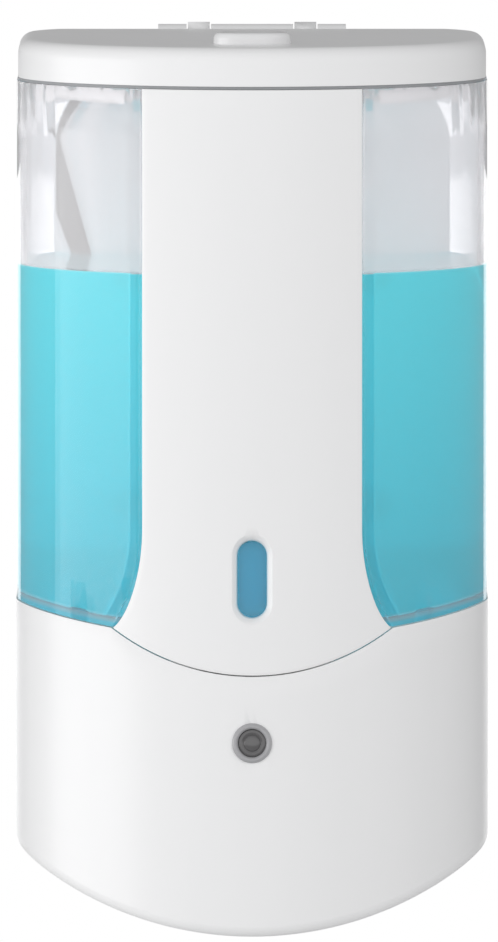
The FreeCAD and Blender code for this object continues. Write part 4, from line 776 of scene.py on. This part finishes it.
softened(tank, 0.35 * MM, 3)
fitted(tank, "tank", "dispenser")

# ------------------------------------------------------------------ soap
# Clear blue-green liquid soap that fills two thirds of the tank. Its surface creeps up a little
# where it meets the walls, and its colour is painted darker towards the bottom as painted shade.
soap_material, soap_tree, soap_skin = new_material("blue_soap")
soap_axes = added(soap_tree, "ShaderNodeSeparateXYZ")
# painted shade: the soap's colour runs from darker at its bottom to paler at its top
soap_shade_height = added(soap_tree, "ShaderNodeMapRange", {"From Min": soap_low.z, "From Max": soap_high.z})
soap_shade_blend = added(soap_tree, "ShaderNodeMix", {"A": (0.05, 0.64, 0.80, 1), "B": (0.11, 0.86, 0.96, 1)},
                   data_type="RGBA")
wired(soap_tree,
      (added(soap_tree, "ShaderNodeTexCoord").outputs["Object"], soap_axes.inputs[0]),
      (soap_axes.outputs["Z"], soap_shade_height.inputs["Value"]),
      (soap_shade_height.outputs[0], soap_shade_blend.inputs["Factor"]),
      (soap_shade_blend.outputs["Result"], soap_skin.inputs["Base Color"]))
for label, value in (("Transmission Weight", 0.4), ("IOR", 1.34), ("Roughness", 0.06)):
    soap_skin.inputs[label].default_value = value
lamp_through(soap_tree, soap_skin, (0.60, 0.95, 0.98))
soap_lap = 0.1 * MM  # the liquid runs this far into the wall, so that no air shows between them
soap = tank_form("liquid_soap_fill", tank_inset + tank_wall - soap_lap, housing_back - tank_wall + soap_lap,
                 seam_gap + tank_wall - soap_lap, seam_gap + tank_wall - soap_lap,
                 panel_step + tank_wall - soap_lap, soap_high.z, soap_material, dish=0.5 * MM)
baked(soap, 50)
fitted(soap, "liquid_soap", "dispenser")

# ------------------------------------------------------------------ sight window
# A small clear pane let into the panel's slot, set back behind the bevel.
window_glass = clear_plastic("window_glass", (0.60, 0.84, 0.94), 0.03, 1.49)
pane_outline = obround(window_high.x - window_low.x, window_high.z - window_low.z, 0, window_z, 24)
pane = prism("sight_window_pane", pane_outline, window_low.y, window_high.y, window_glass, axis="Y",
             low_round=0.25 * MM, high_round=0.1 * MM)
baked(pane)
fitted(pane, "sight_window", "dispenser")

# ------------------------------------------------------------------ indicator eye
# A light grey bezel ring pressed into the housing, with a smoked dome that hides the signal lamp.
def lathe(name, profile, spot, axis, material, steps=64):
    """A turned piece from (radius, along) points about an axis through spot; ends at the axis close."""
    points = []
    for radius, along in profile:
        for step in range(steps):
            turn = 2 * math.pi * step / steps
            flat = (radius * math.cos(turn), radius * math.sin(turn))
            if axis == "Y":
                points.append(Vector(spot) + Vector((flat[0], along, flat[1])))
            else:
                points.append(Vector(spot) + Vector((flat[0], flat[1], along)))
    item = mesh_piece(name, points, grid_faces(len(profile), steps, True), material)
    outward(item)
    item.data.shade_smooth()
    item.data.set_sharp_from_angle(angle=math.radians(45))
    return item


def rounded_profile(profile, radius, steps=4):
    """A turned profile whose inner corners are rounded by up to a radius."""
    found = [profile[0]]
    for before, corner, after in zip(profile, profile[1:], profile[2:]):
        here = Vector(corner)
        to_before = Vector(before) - here
        to_after = Vector(after) - here
        room = min(radius, 0.45 * to_before.length, 0.45 * to_after.length)
        start = here + to_before.normalized() * room
        end = here + to_after.normalized() * room
        for step in range(steps + 1):
            share = step / steps
            spot = start * (1 - share) ** 2 + here * 2 * share * (1 - share) + end * share ** 2
            found.append((spot.x, spot.y))
    found.append(profile[-1])
    return found


bezel_grey = moulded("bezel_grey", (0.42, 0.42, 0.43), (0.36, 0.36, 0.37), gloss=0.24, change=0.06)
lens_low, lens_high = box("eye_lens")
lens_radius = lens_high.x
bezel_radius = eye_high.x
bezel_inner = lens_radius + 0.05 * MM
bezel_proud = front_y - eye_low.y
bezel_depth = eye_high.y - front_y
bezel_profile = rounded_profile([
    (bezel_inner, bezel_depth), (3.8 * MM, bezel_depth), (3.8 * MM, 0.03 * MM), (bezel_radius, 0.03 * MM),
    (bezel_radius, -bezel_proud * 0.4), (bezel_radius - 0.55 * MM, -bezel_proud),
    (bezel_inner + 0.45 * MM, -bezel_proud), (bezel_inner, -bezel_proud * 0.3), (bezel_inner, bezel_depth)],
    0.3 * MM)
bezel = lathe("eye_bezel_ring", bezel_profile, (0, front_y, eye_z), "Y", bezel_grey)
fitted(bezel, "eye_bezel", "dispenser")

smoked_lens = moulded("smoked_lens", (0.10, 0.098, 0.10), (0.07, 0.068, 0.07), gloss=0.16, change=0.04,
                      coat=0.8)
dome = [(0, 5 * MM), (lens_radius - 0.2 * MM, 5 * MM), (lens_radius, 4.8 * MM), (lens_radius, 0.2 * MM)]
dome_rise = front_y - lens_low.y
for share, rise in ((0.97, 0.3), (0.86, 0.52), (0.76, 0.55), (0.68, 0.25), (0.62, 0.2)):
    dome.append((lens_radius * share, -dome_rise * rise))
for step in range(1, 13):
    turn = math.pi / 2 * step / 12
    dome.append((lens_radius * 0.6 * math.cos(turn), -dome_rise * (0.2 + 0.8 * math.sin(turn))))
dome[-1] = (0, -dome_rise)
lens = lathe("eye_lens_dome", dome, (0, front_y, eye_z), "Y", smoked_lens)
fitted(lens, "eye_lens", "dispenser")

# ------------------------------------------------------------------ lid
# A shallow white cover with rounded top edges. A thin skirt dips into the tank's mouth, two
# knuckles at the rear turn on the hinge pin, and an oval hole near the front takes the button.
lid_low, lid_high = box("lid")
button_low, button_high = box("latch_button")
lid_inset = body_half - lid_high.x
lid_foot = box("lid_gasket")[1].z
lid_top = bottom_z + 200 * MM
lid_round = 3.2 * MM
lid_back = -10.2 * MM
lid_under = lid_top - shell_wall
button_y = (button_low.y + button_high.y) / 2
button_width = 17.4 * MM
button_length = 13 * MM
pin_low, pin_high = box("hinge_pin")
hinge_y = (pin_low.y + pin_high.y) / 2
hinge_z = (pin_low.z + pin_high.z) / 2
lid_blank = hull("lid_shell", lid_inset, lid_foot, lid_top, white_shell, high_round=lid_round)
back_slab = back_cut(lid_back)
combine(lid_blank, [back_slab])
softened(lid_blank, 1.6 * MM, 5, 60)
lid_room = hull("lid_room", lid_inset + shell_wall, lid_foot - 5 * MM, lid_under, white_inner,
                high_round=1.2 * MM)
combine(lid_room, [back_cut(lid_back - shell_wall)])
combine(lid_blank, [lid_room])
skirt_gap = 1.25 * MM
skirt_wall = 1.4 * MM


def mouth(name, gap, back, low, high):
    """A block that follows the inside of the tank's mouth at an even gap, its panel step included."""
    form = hull(name, tank_inset + tank_wall + gap, low, high, white_inner)
    strip = block("strip", (-panel_half - seam_gap - tank_wall - gap, -FAR, low - MM),
                  (panel_half + seam_gap + tank_wall + gap, front_centre, high + MM))
    combine(strip, [hull("core", panel_step + tank_wall + gap, low - 2 * MM, high + 2 * MM, white_inner)])
    return combine(form, [strip, back_cut(back)])


mouth_back = housing_back - tank_wall - skirt_gap
skirt = mouth("skirt", skirt_gap, mouth_back, lid_low.z, lid_under + 0.5 * MM)
combine(skirt, [mouth("skirt_room", skirt_gap + skirt_wall, mouth_back - skirt_wall, lid_low.z - 5 * MM,
                      FAR)])
knuckles = []
knuckle_radius = 4.39 * MM
knuckle_place = 12.2 * MM
knuckle_half = 2.5 * MM
for side in (-1, 1):
    arm = []
    for step in range(25):
        turn = math.radians(-90 + 180 * step / 24)
        arm.append(Vector((hinge_y + knuckle_radius * math.cos(turn),
                           hinge_z + knuckle_radius * math.sin(turn))))
    arm += [Vector((hinge_y, lid_top - 0.15 * MM)), Vector((lid_back - 1.5 * MM, lid_top - 0.15 * MM)),
            Vector((lid_back - 1.5 * MM, hinge_z - MM)), Vector((hinge_y - 2 * MM, hinge_z - MM)),
            Vector((hinge_y - 2 * MM, hinge_z - 4.0 * MM))]
    knuckles.append(prism("knuckle", arm, side * knuckle_place - knuckle_half,
                          side * knuckle_place + knuckle_half, white_shell, axis="X"))
combine(lid_blank, [skirt] + knuckles, "UNION")
combine(lid_blank, [
    prism("button_cut", obround(button_width + 0.5 * MM, button_length + 0.5 * MM, 0, button_y, 24),
          lid_under - 2 * MM, FAR, white_shell),
    block("bolt_cut", (-5.5 * MM, catch_low.y - 0.4 * MM, lid_low.z - MM),
          (5.5 * MM, button_y, catch_high.z + 0.5 * MM)),
    prism("pin_cut", circle(1.31 * MM, hinge_y, hinge_z, 32), -FAR, FAR, white_shell, axis="X")])
softened(lid_blank, 0.22 * MM, 2, 38)
fitted(lid_blank, "lid", "lid")

# ------------------------------------------------------------------ latch button
# A glossy oval push button with a rounded, slightly dished top; a flange under it stops it in the
# lid, and its wedge-ended stem reaches down to the bolt.
button_white = moulded("white_shell_button", (0.84, 0.84, 0.845), (0.82, 0.82, 0.825), gloss=0.16,
                       change=0.05)
flange_low = bottom_z + 196.15 * MM
flange_top = bottom_z + 197.75 * MM
cap_rings = []
for level, grow in ((flange_low, 0.8), (flange_low + 0.2 * MM, 1.0), (flange_top - 0.1 * MM, 1.0),
                    (flange_top, 0.9), (flange_top, 0.0), (button_high.z - 1.3 * MM, 0.0)):
    ring = obround(button_width + 2 * grow * MM, button_length + 2 * grow * MM, 0, button_y, 24)
    cap_rings.append(placed(ring, level))
for step in range(1, 8):
    turn = math.pi / 2 * step / 7
    grow = -1.3 * MM * (1 - math.cos(turn))
    ring = obround(button_width + 2 * grow, button_length + 2 * grow, 0, button_y, 24)
    cap_rings.append(placed(ring, button_high.z - 1.3 * MM * (1 - math.sin(turn))))
for share, dip in ((0.8, 0.08), (0.6, 0.22), (0.35, 0.34), (0.12, 0.4)):
    width = (button_width - 2.6 * MM) - (button_length - 2.6 * MM) * (1 - share)
    ring = obround(width, (button_length - 2.6 * MM) * share, 0, button_y, 24)
    cap_rings.append(placed(ring, button_high.z - dip * MM))
button = loft("latch_button_cap", cap_rings, button_white)
wedge_y = button_y + 2 * MM
stem_outline = [Vector(spot) for spot in (
    (button_y - 2 * MM, flange_low + 0.3 * MM), (button_y - 2 * MM, button_low.z),
    (wedge_y - 3.1 * MM, button_low.z), (wedge_y, bottom_z + 190.4 * MM), (wedge_y, flange_low + 0.3 * MM))]
stem = prism("stem", stem_outline, -2 * MM, 2 * MM, button_white, axis="X")
combine(button, [stem], "UNION")
softened(button, 0.1 * MM, 2, 50)
fitted(button, "latch_button", "latch_button")

# ------------------------------------------------------------------ parts with eased edges
# The other moulded, cut and pressed parts keep the form they were designed with. Each is taken over
# with its flat faces joined up and its edges eased the way its mould, saw or die leaves them.
grey_rubber = moulded("grey_silicone", (0.34, 0.35, 0.36), (0.30, 0.31, 0.32), gloss=0.55, change=0.12,
                      depth=0.08)
steel = moulded("steel", (0.62, 0.62, 0.63), (0.55, 0.55, 0.56), gloss=0.24, change=0.14, grain_size=2400,
                depth=0.03, metal=1.0, wipe_size=260)
brass = moulded("brass_contact", (0.72, 0.60, 0.32), (0.66, 0.53, 0.27), gloss=0.28, change=0.12,
                metal=1.0, wipe_size=200)
black_plastic = moulded("black_plastic", (0.02, 0.02, 0.021), (0.03, 0.03, 0.03), gloss=0.42, change=0.14,
                        depth=0.06)
gear_white = moulded("gear_plastic", (0.78, 0.76, 0.70), (0.74, 0.72, 0.66), gloss=0.42, change=0.1,
                     depth=0.04)
grey_plastic = moulded("grey_plastic", (0.28, 0.29, 0.30), (0.25, 0.26, 0.27), gloss=0.45, change=0.12,
                       depth=0.05)


def eased(node, body, width, material, segments=2):
    """A CAD node's form with eased edges, riding the same body."""
    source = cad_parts[node]
    mesh = source.data.copy()
    mesh.transform(source.matrix_world)
    mesh.materials.clear()
    mesh.materials.append(material)
    item = bpy.data.objects.new(node + "_eased", mesh)
    bpy.context.collection.objects.link(item)
    work = bmesh.new()
    work.from_mesh(mesh)
    bmesh.ops.remove_doubles(work, verts=work.verts, dist=0.004 * MM)
    bmesh.ops.dissolve_limit(work, angle_limit=math.radians(0.6), verts=work.verts, edges=work.edges)
    bmesh.ops.recalc_face_normals(work, faces=work.faces)
    for face in work.faces:
        face.material_index = 0
    work.to_mesh(mesh)
    work.free()
    if width:
        softened(item, width * MM, segments, 38)
    else:
        baked(item, 50)
    return fitted(item, node, body)


for node, body, width, material, slot in (
        ("rear_housing", "dispenser", 0.45, white_shell, "white_shell"),
        ("battery_door", "battery_door", 0.2, white_shell, "white_shell"),
        ("wall_plate", "wall_bracket", 0.4, white_inner, "white_inner_plastic"),
        ("deck", "dispenser", 0.25, white_inner, "white_inner_plastic"),
        ("battery_box", "dispenser", 0.2, white_inner, "white_inner_plastic"),
        ("latch_bolt", "latch_bolt", 0.2, white_inner, "white_inner_plastic"),
        ("latch_keeper", "lid", 0.2, white_inner, "white_inner_plastic"),
        ("board_sockets", "dispenser", 0.12, white_inner, "white_inner_plastic"),
        ("lid_gasket", "lid", 0.12, grey_rubber, "grey_silicone"),
        ("pump_body", "dispenser", 0.3, black_plastic, "black_plastic"),
        ("pump_cover", "dispenser", 0.3, black_plastic, "black_plastic"),
        ("switch_case", "dispenser", 0.15, black_plastic, "black_plastic"),
        ("switch_knob", "switch", 0.25, black_plastic, "black_plastic"),
        ("control_chip", "dispenser", 0.08, black_plastic, "black_plastic"),
        ("nozzle", "dispenser", 0.2, grey_plastic, "grey_plastic"),
        ("motor_can", "dispenser", 0.4, steel, "steel"),
        ("motor_end_cap", "dispenser", 0.25, black_plastic, "black_plastic"),
        ("sensor_window", "dispenser", 0.2, smoked_lens, "smoked_lens")):
    eased(node, body, width, material)
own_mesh(eased("latch_spring", "lid", 0, steel))

# ------------------------------------------------------------------ screws
# Plated pan head screws with a cross recess and a rolled thread. One screw of each size is turned,
# then set at every screw place with its own chance turn of the recess.
def screw(name, head, rise, shank, length):
    """A pan head screw seated at the origin, its head up and its threaded shank down."""
    profile = [(0, -length), (shank * 0.25, -length + 0.15 * MM)]
    pitch = 0.9 * MM
    along = -length + 0.9 * MM
    profile.append((shank * 0.78, along))
    while along + pitch < -0.8 * MM:
        profile += [(shank, along + pitch * 0.45), (shank, along + pitch * 0.55),
                    (shank * 0.8, along + pitch)]
        along += pitch
    profile += [(shank * 0.8, 0), (head * 0.96, 0), (head, 0.12 * MM), (head, rise * 0.45)]
    for step in range(1, 8):
        turn = math.pi / 2 * step / 7
        profile.append((head - rise * 0.5 * (1 - math.cos(turn)), rise * (0.45 + 0.55 * math.sin(turn))))
    profile.append((0, rise))
    item = lathe(name, profile, (0, 0, 0), "Z", steel, 32)
    arm, half = head * 0.58, head * 0.13
    combine(item, [block("recess", (-arm, -half, rise * 0.35), (arm, half, rise * 2)),
                   block("recess", (-half, -arm, rise * 0.35), (half, arm, rise * 2))])
    return item


screw_tree = bpy.data.node_groups.new("screw_set", "GeometryNodeTree")
for label, kind in (("Places", "Geometry"), ("Screw", "Object"), ("Lie", "Vector"), ("Seed", "Int"),
                    ("Plating", "Material")):
    screw_tree.interface.new_socket(label, in_out="INPUT", socket_type="NodeSocket" + kind)
screw_tree.interface.new_socket("Screws", in_out="OUTPUT", socket_type="NodeSocketGeometry")
made = {kind: screw_tree.nodes.new(kind) for kind in (
    "NodeGroupInput", "NodeGroupOutput", "GeometryNodeObjectInfo", "GeometryNodeInstanceOnPoints",
    "FunctionNodeRandomValue", "ShaderNodeCombineXYZ", "GeometryNodeRotateInstances",
    "GeometryNodeRealizeInstances", "GeometryNodeSetMaterial")}
given = made["NodeGroupInput"].outputs
set_out = made["GeometryNodeInstanceOnPoints"]
turned = made["GeometryNodeRotateInstances"]
chance = made["FunctionNodeRandomValue"]
chance.data_type = "FLOAT"
chance_out = next(socket for socket in chance.outputs if socket.enabled)
[socket for socket in chance.inputs if socket.enabled and socket.name == "Max"][0].default_value = math.pi / 2
for source, target in (
        (given["Screw"], made["GeometryNodeObjectInfo"].inputs["Object"]),
        (given["Places"], set_out.inputs["Points"]),
        (made["GeometryNodeObjectInfo"].outputs["Geometry"], set_out.inputs["Instance"]),
        (given["Lie"], set_out.inputs["Rotation"]),
        (given["Seed"], chance.inputs["Seed"]),
        (chance_out, made["ShaderNodeCombineXYZ"].inputs["Z"]),
        (set_out.outputs["Instances"], turned.inputs["Instances"]),
        (made["ShaderNodeCombineXYZ"].outputs[0], turned.inputs["Rotation"]),
        (turned.outputs["Instances"], made["GeometryNodeRealizeInstances"].inputs["Geometry"]),
        (made["GeometryNodeRealizeInstances"].outputs[0], made["GeometryNodeSetMaterial"].inputs["Geometry"]),
        (given["Plating"], made["GeometryNodeSetMaterial"].inputs["Material"]),
        (made["GeometryNodeSetMaterial"].outputs[0], made["NodeGroupOutput"].inputs[0])):
    screw_tree.links.new(source, target)


def corners(node, reach, back=False):
    """The four screw places of a CAD node whose screws stand along y at the corners of a rectangle."""
    low, high = box(node)
    level = high.y if back else low.y
    return [Vector((x, level, z)) for x in (low.x + reach, high.x - reach)
            for z in (low.z + reach, high.z - reach)]


pan = screw("pan_screw", 2.6 * MM, 1.5 * MM, 1.2 * MM, 9 * MM)
small = screw("small_screw", 1.7 * MM, 1.3 * MM, 0.8 * MM, 6.9 * MM)
along_y = Vector((0, 1, 0))
for node, kind, lie, places, seed in (
        ("deck_screws", pan, (0, 0, 0), [Vector((x, y, deck_plate_low + 2 * MM)) for x, y in post_spots], 3),
        ("housing_screws", pan, (-math.pi / 2, 0, 0),
         [spot - along_y * 1.5 * MM for spot in corners("housing_screws", 2.6 * MM, True)], 7),
        ("pump_screws", small, (math.pi / 2, 0, 0),
         [spot + along_y * 1.3 * MM for spot in corners("pump_screws", 1.7 * MM)], 11)):
    spots = bpy.data.meshes.new(node + "_places")
    spots.from_pydata([tuple(place) for place in places], [], [])
    screws = bpy.data.objects.new(node + "_turned", spots)
    bpy.context.collection.objects.link(screws)
    setting = screws.modifiers.new("screw_set", "NODES")
    setting.node_group = screw_tree
    chosen = {"Screw": kind, "Lie": lie, "Seed": seed, "Plating": steel}
    for socket in screw_tree.interface.items_tree:
        if socket.in_out == "INPUT" and socket.name in chosen:
            setting[socket.identifier] = chosen[socket.name]
    baked(screws, 40)
    fitted(screws, node, "dispenser")
for spare in (pan, small):
    bpy.data.objects.remove(spare)

# ------------------------------------------------------------------ batteries
# Four plain cells with bare steel ends, a dark printed wrap and a copper band towards the raised
# contact. They lie front to back and point alternately.
def battery_finish(name, flat_end, raised_end):
    """Steel, wrap and copper band along the cell, from its flat end to its raised end."""
    material, tree, skin = new_material(name)
    axes = added(tree, "ShaderNodeSeparateXYZ")
    share = added(tree, "ShaderNodeMapRange", {"From Min": flat_end, "From Max": raised_end})
    wired(tree, (added(tree, "ShaderNodeTexCoord").outputs["Object"], axes.inputs[0]),
          (axes.outputs["Y"], share.inputs["Value"]))
    bare_steel = (0.60, 0.60, 0.61)
    for socket, levels in (("Base Color", (bare_steel, (0.035, 0.045, 0.06), (0.62, 0.31, 0.13), bare_steel)),
                           ("Metallic", ((1, 1, 1), (0, 0, 0), (0.7, 0.7, 0.7), (1, 1, 1)))):
        ramp = added(tree, "ShaderNodeValToRGB")
        ramp.color_ramp.interpolation = "CONSTANT"
        for place in (0.03, 0.72):
            ramp.color_ramp.elements.new(place)
        ramp.color_ramp.elements[3].position = 0.955
        for stop, level in zip(ramp.color_ramp.elements, levels):
            stop.color = (*level, 1)
        wired(tree, (share.outputs[0], ramp.inputs["Fac"]), (ramp.outputs["Color"], skin.inputs[socket]))
    finish = added(tree, "ShaderNodeGroup", {"Gloss": 0.26}, node_tree=finish_group)
    tree.links.new(finish.outputs["Roughness"], skin.inputs["Roughness"])
    skin.inputs["Coat Weight"].default_value = 0.3
    return material


cell_ends = [box("battery_%d" % number) for number in range(1, 5)]
for number, (cell_low, cell_high) in enumerate(cell_ends):
    cell_radius = (cell_high.x - cell_low.x) / 2
    cell_length = cell_high.y - cell_low.y
    profile = rounded_profile([
        (0, 0), (cell_radius * 0.72, 0), (cell_radius * 0.72, 0.3 * MM), (cell_radius - 0.6 * MM, 0.3 * MM),
        (cell_radius, 0.9 * MM), (cell_radius, cell_length - 2.4 * MM),
        (cell_radius - 0.8 * MM, cell_length - 1.4 * MM), (2.7 * MM, cell_length - 1.4 * MM),
        (2.7 * MM, cell_length), (0, cell_length)], 0.35 * MM, 3)
    ahead = 1 if number % 2 == 0 else -1
    start, end = (cell_low.y, cell_high.y) if ahead > 0 else (cell_high.y, cell_low.y)
    cell = lathe("battery_%d_cell" % (number + 1), [(radius, along * ahead) for radius, along in profile],
                 ((cell_low.x + cell_high.x) / 2, start, (cell_low.z + cell_high.z) / 2), "Y",
                 battery_finish("battery_wrap_%d" % (number + 1), start, end), 48)
    fitted(cell, "battery_%d" % (number + 1), "dispenser")

# ------------------------------------------------------------------ circuit boards
# Green coated boards with rows of copper tracks showing darker and lighter through the coating.
board_green = moulded("circuit_board", (0.02, 0.15, 0.06), (0.03, 0.19, 0.08), gloss=0.34, change=0.1,
                      coat=0.2)
board_tree = board_green.node_tree
tracks = added(board_tree, "ShaderNodeTexBrick", {
    "Scale": 160, "Color1": (0.018, 0.14, 0.055, 1), "Color2": (0.03, 0.20, 0.085, 1),
    "Mortar": (0.09, 0.34, 0.14, 1), "Mortar Size": 0.06})
track_turn = added(board_tree, "ShaderNodeMapping", {"Rotation": (math.radians(38), 0, math.radians(52))})
wired(board_tree,
      (added(board_tree, "ShaderNodeTexCoord").outputs["Object"], track_turn.inputs["Vector"]),
      (track_turn.outputs[0], tracks.inputs["Vector"]),
      (tracks.outputs["Color"], board_tree.nodes["Principled BSDF"].inputs["Base Color"]))
for node in ("eye_board", "sensor_board", "main_board"):
    eased(node, "dispenser", 0.1, board_green)

# ------------------------------------------------------------------ pieces whose own shape is right
# Wires, springs, tubes, gears and other small parts keep their designed shape and take the finish
# of what they are made of.
copper_lead = moulded("copper_lead", (0.55, 0.03, 0.03), (0.48, 0.02, 0.02), gloss=0.38, change=0.1)
clear_tube = clear_plastic("clear_tube", (0.93, 0.94, 0.94), 0.12, 1.41)
clear_led = clear_plastic("clear_led", (0.92, 0.95, 0.97), 0.05, 1.5)
paint(white_inner, "outlet_strainer")
paint(steel, "hinge_pin", "battery_springs", "idler_pin", "motor_shaft")
paint(brass, "contact_plates_front", "contact_plates_back", "motor_terminals")
paint(gear_white, "drive_gear", "idler_gear")
paint(black_plastic, "power_capacitor")
paint(grey_rubber, "shaft_seal", "nozzle_valve")
paint(clear_tube, "inlet_tube", "outlet_tube")
paint(smoked_lens, "hand_receiver")
paint(clear_led, "eye_light", "hand_emitter")
paint(copper_lead, "motor_leads", "battery_leads", "eye_lead", "sensor_lead")
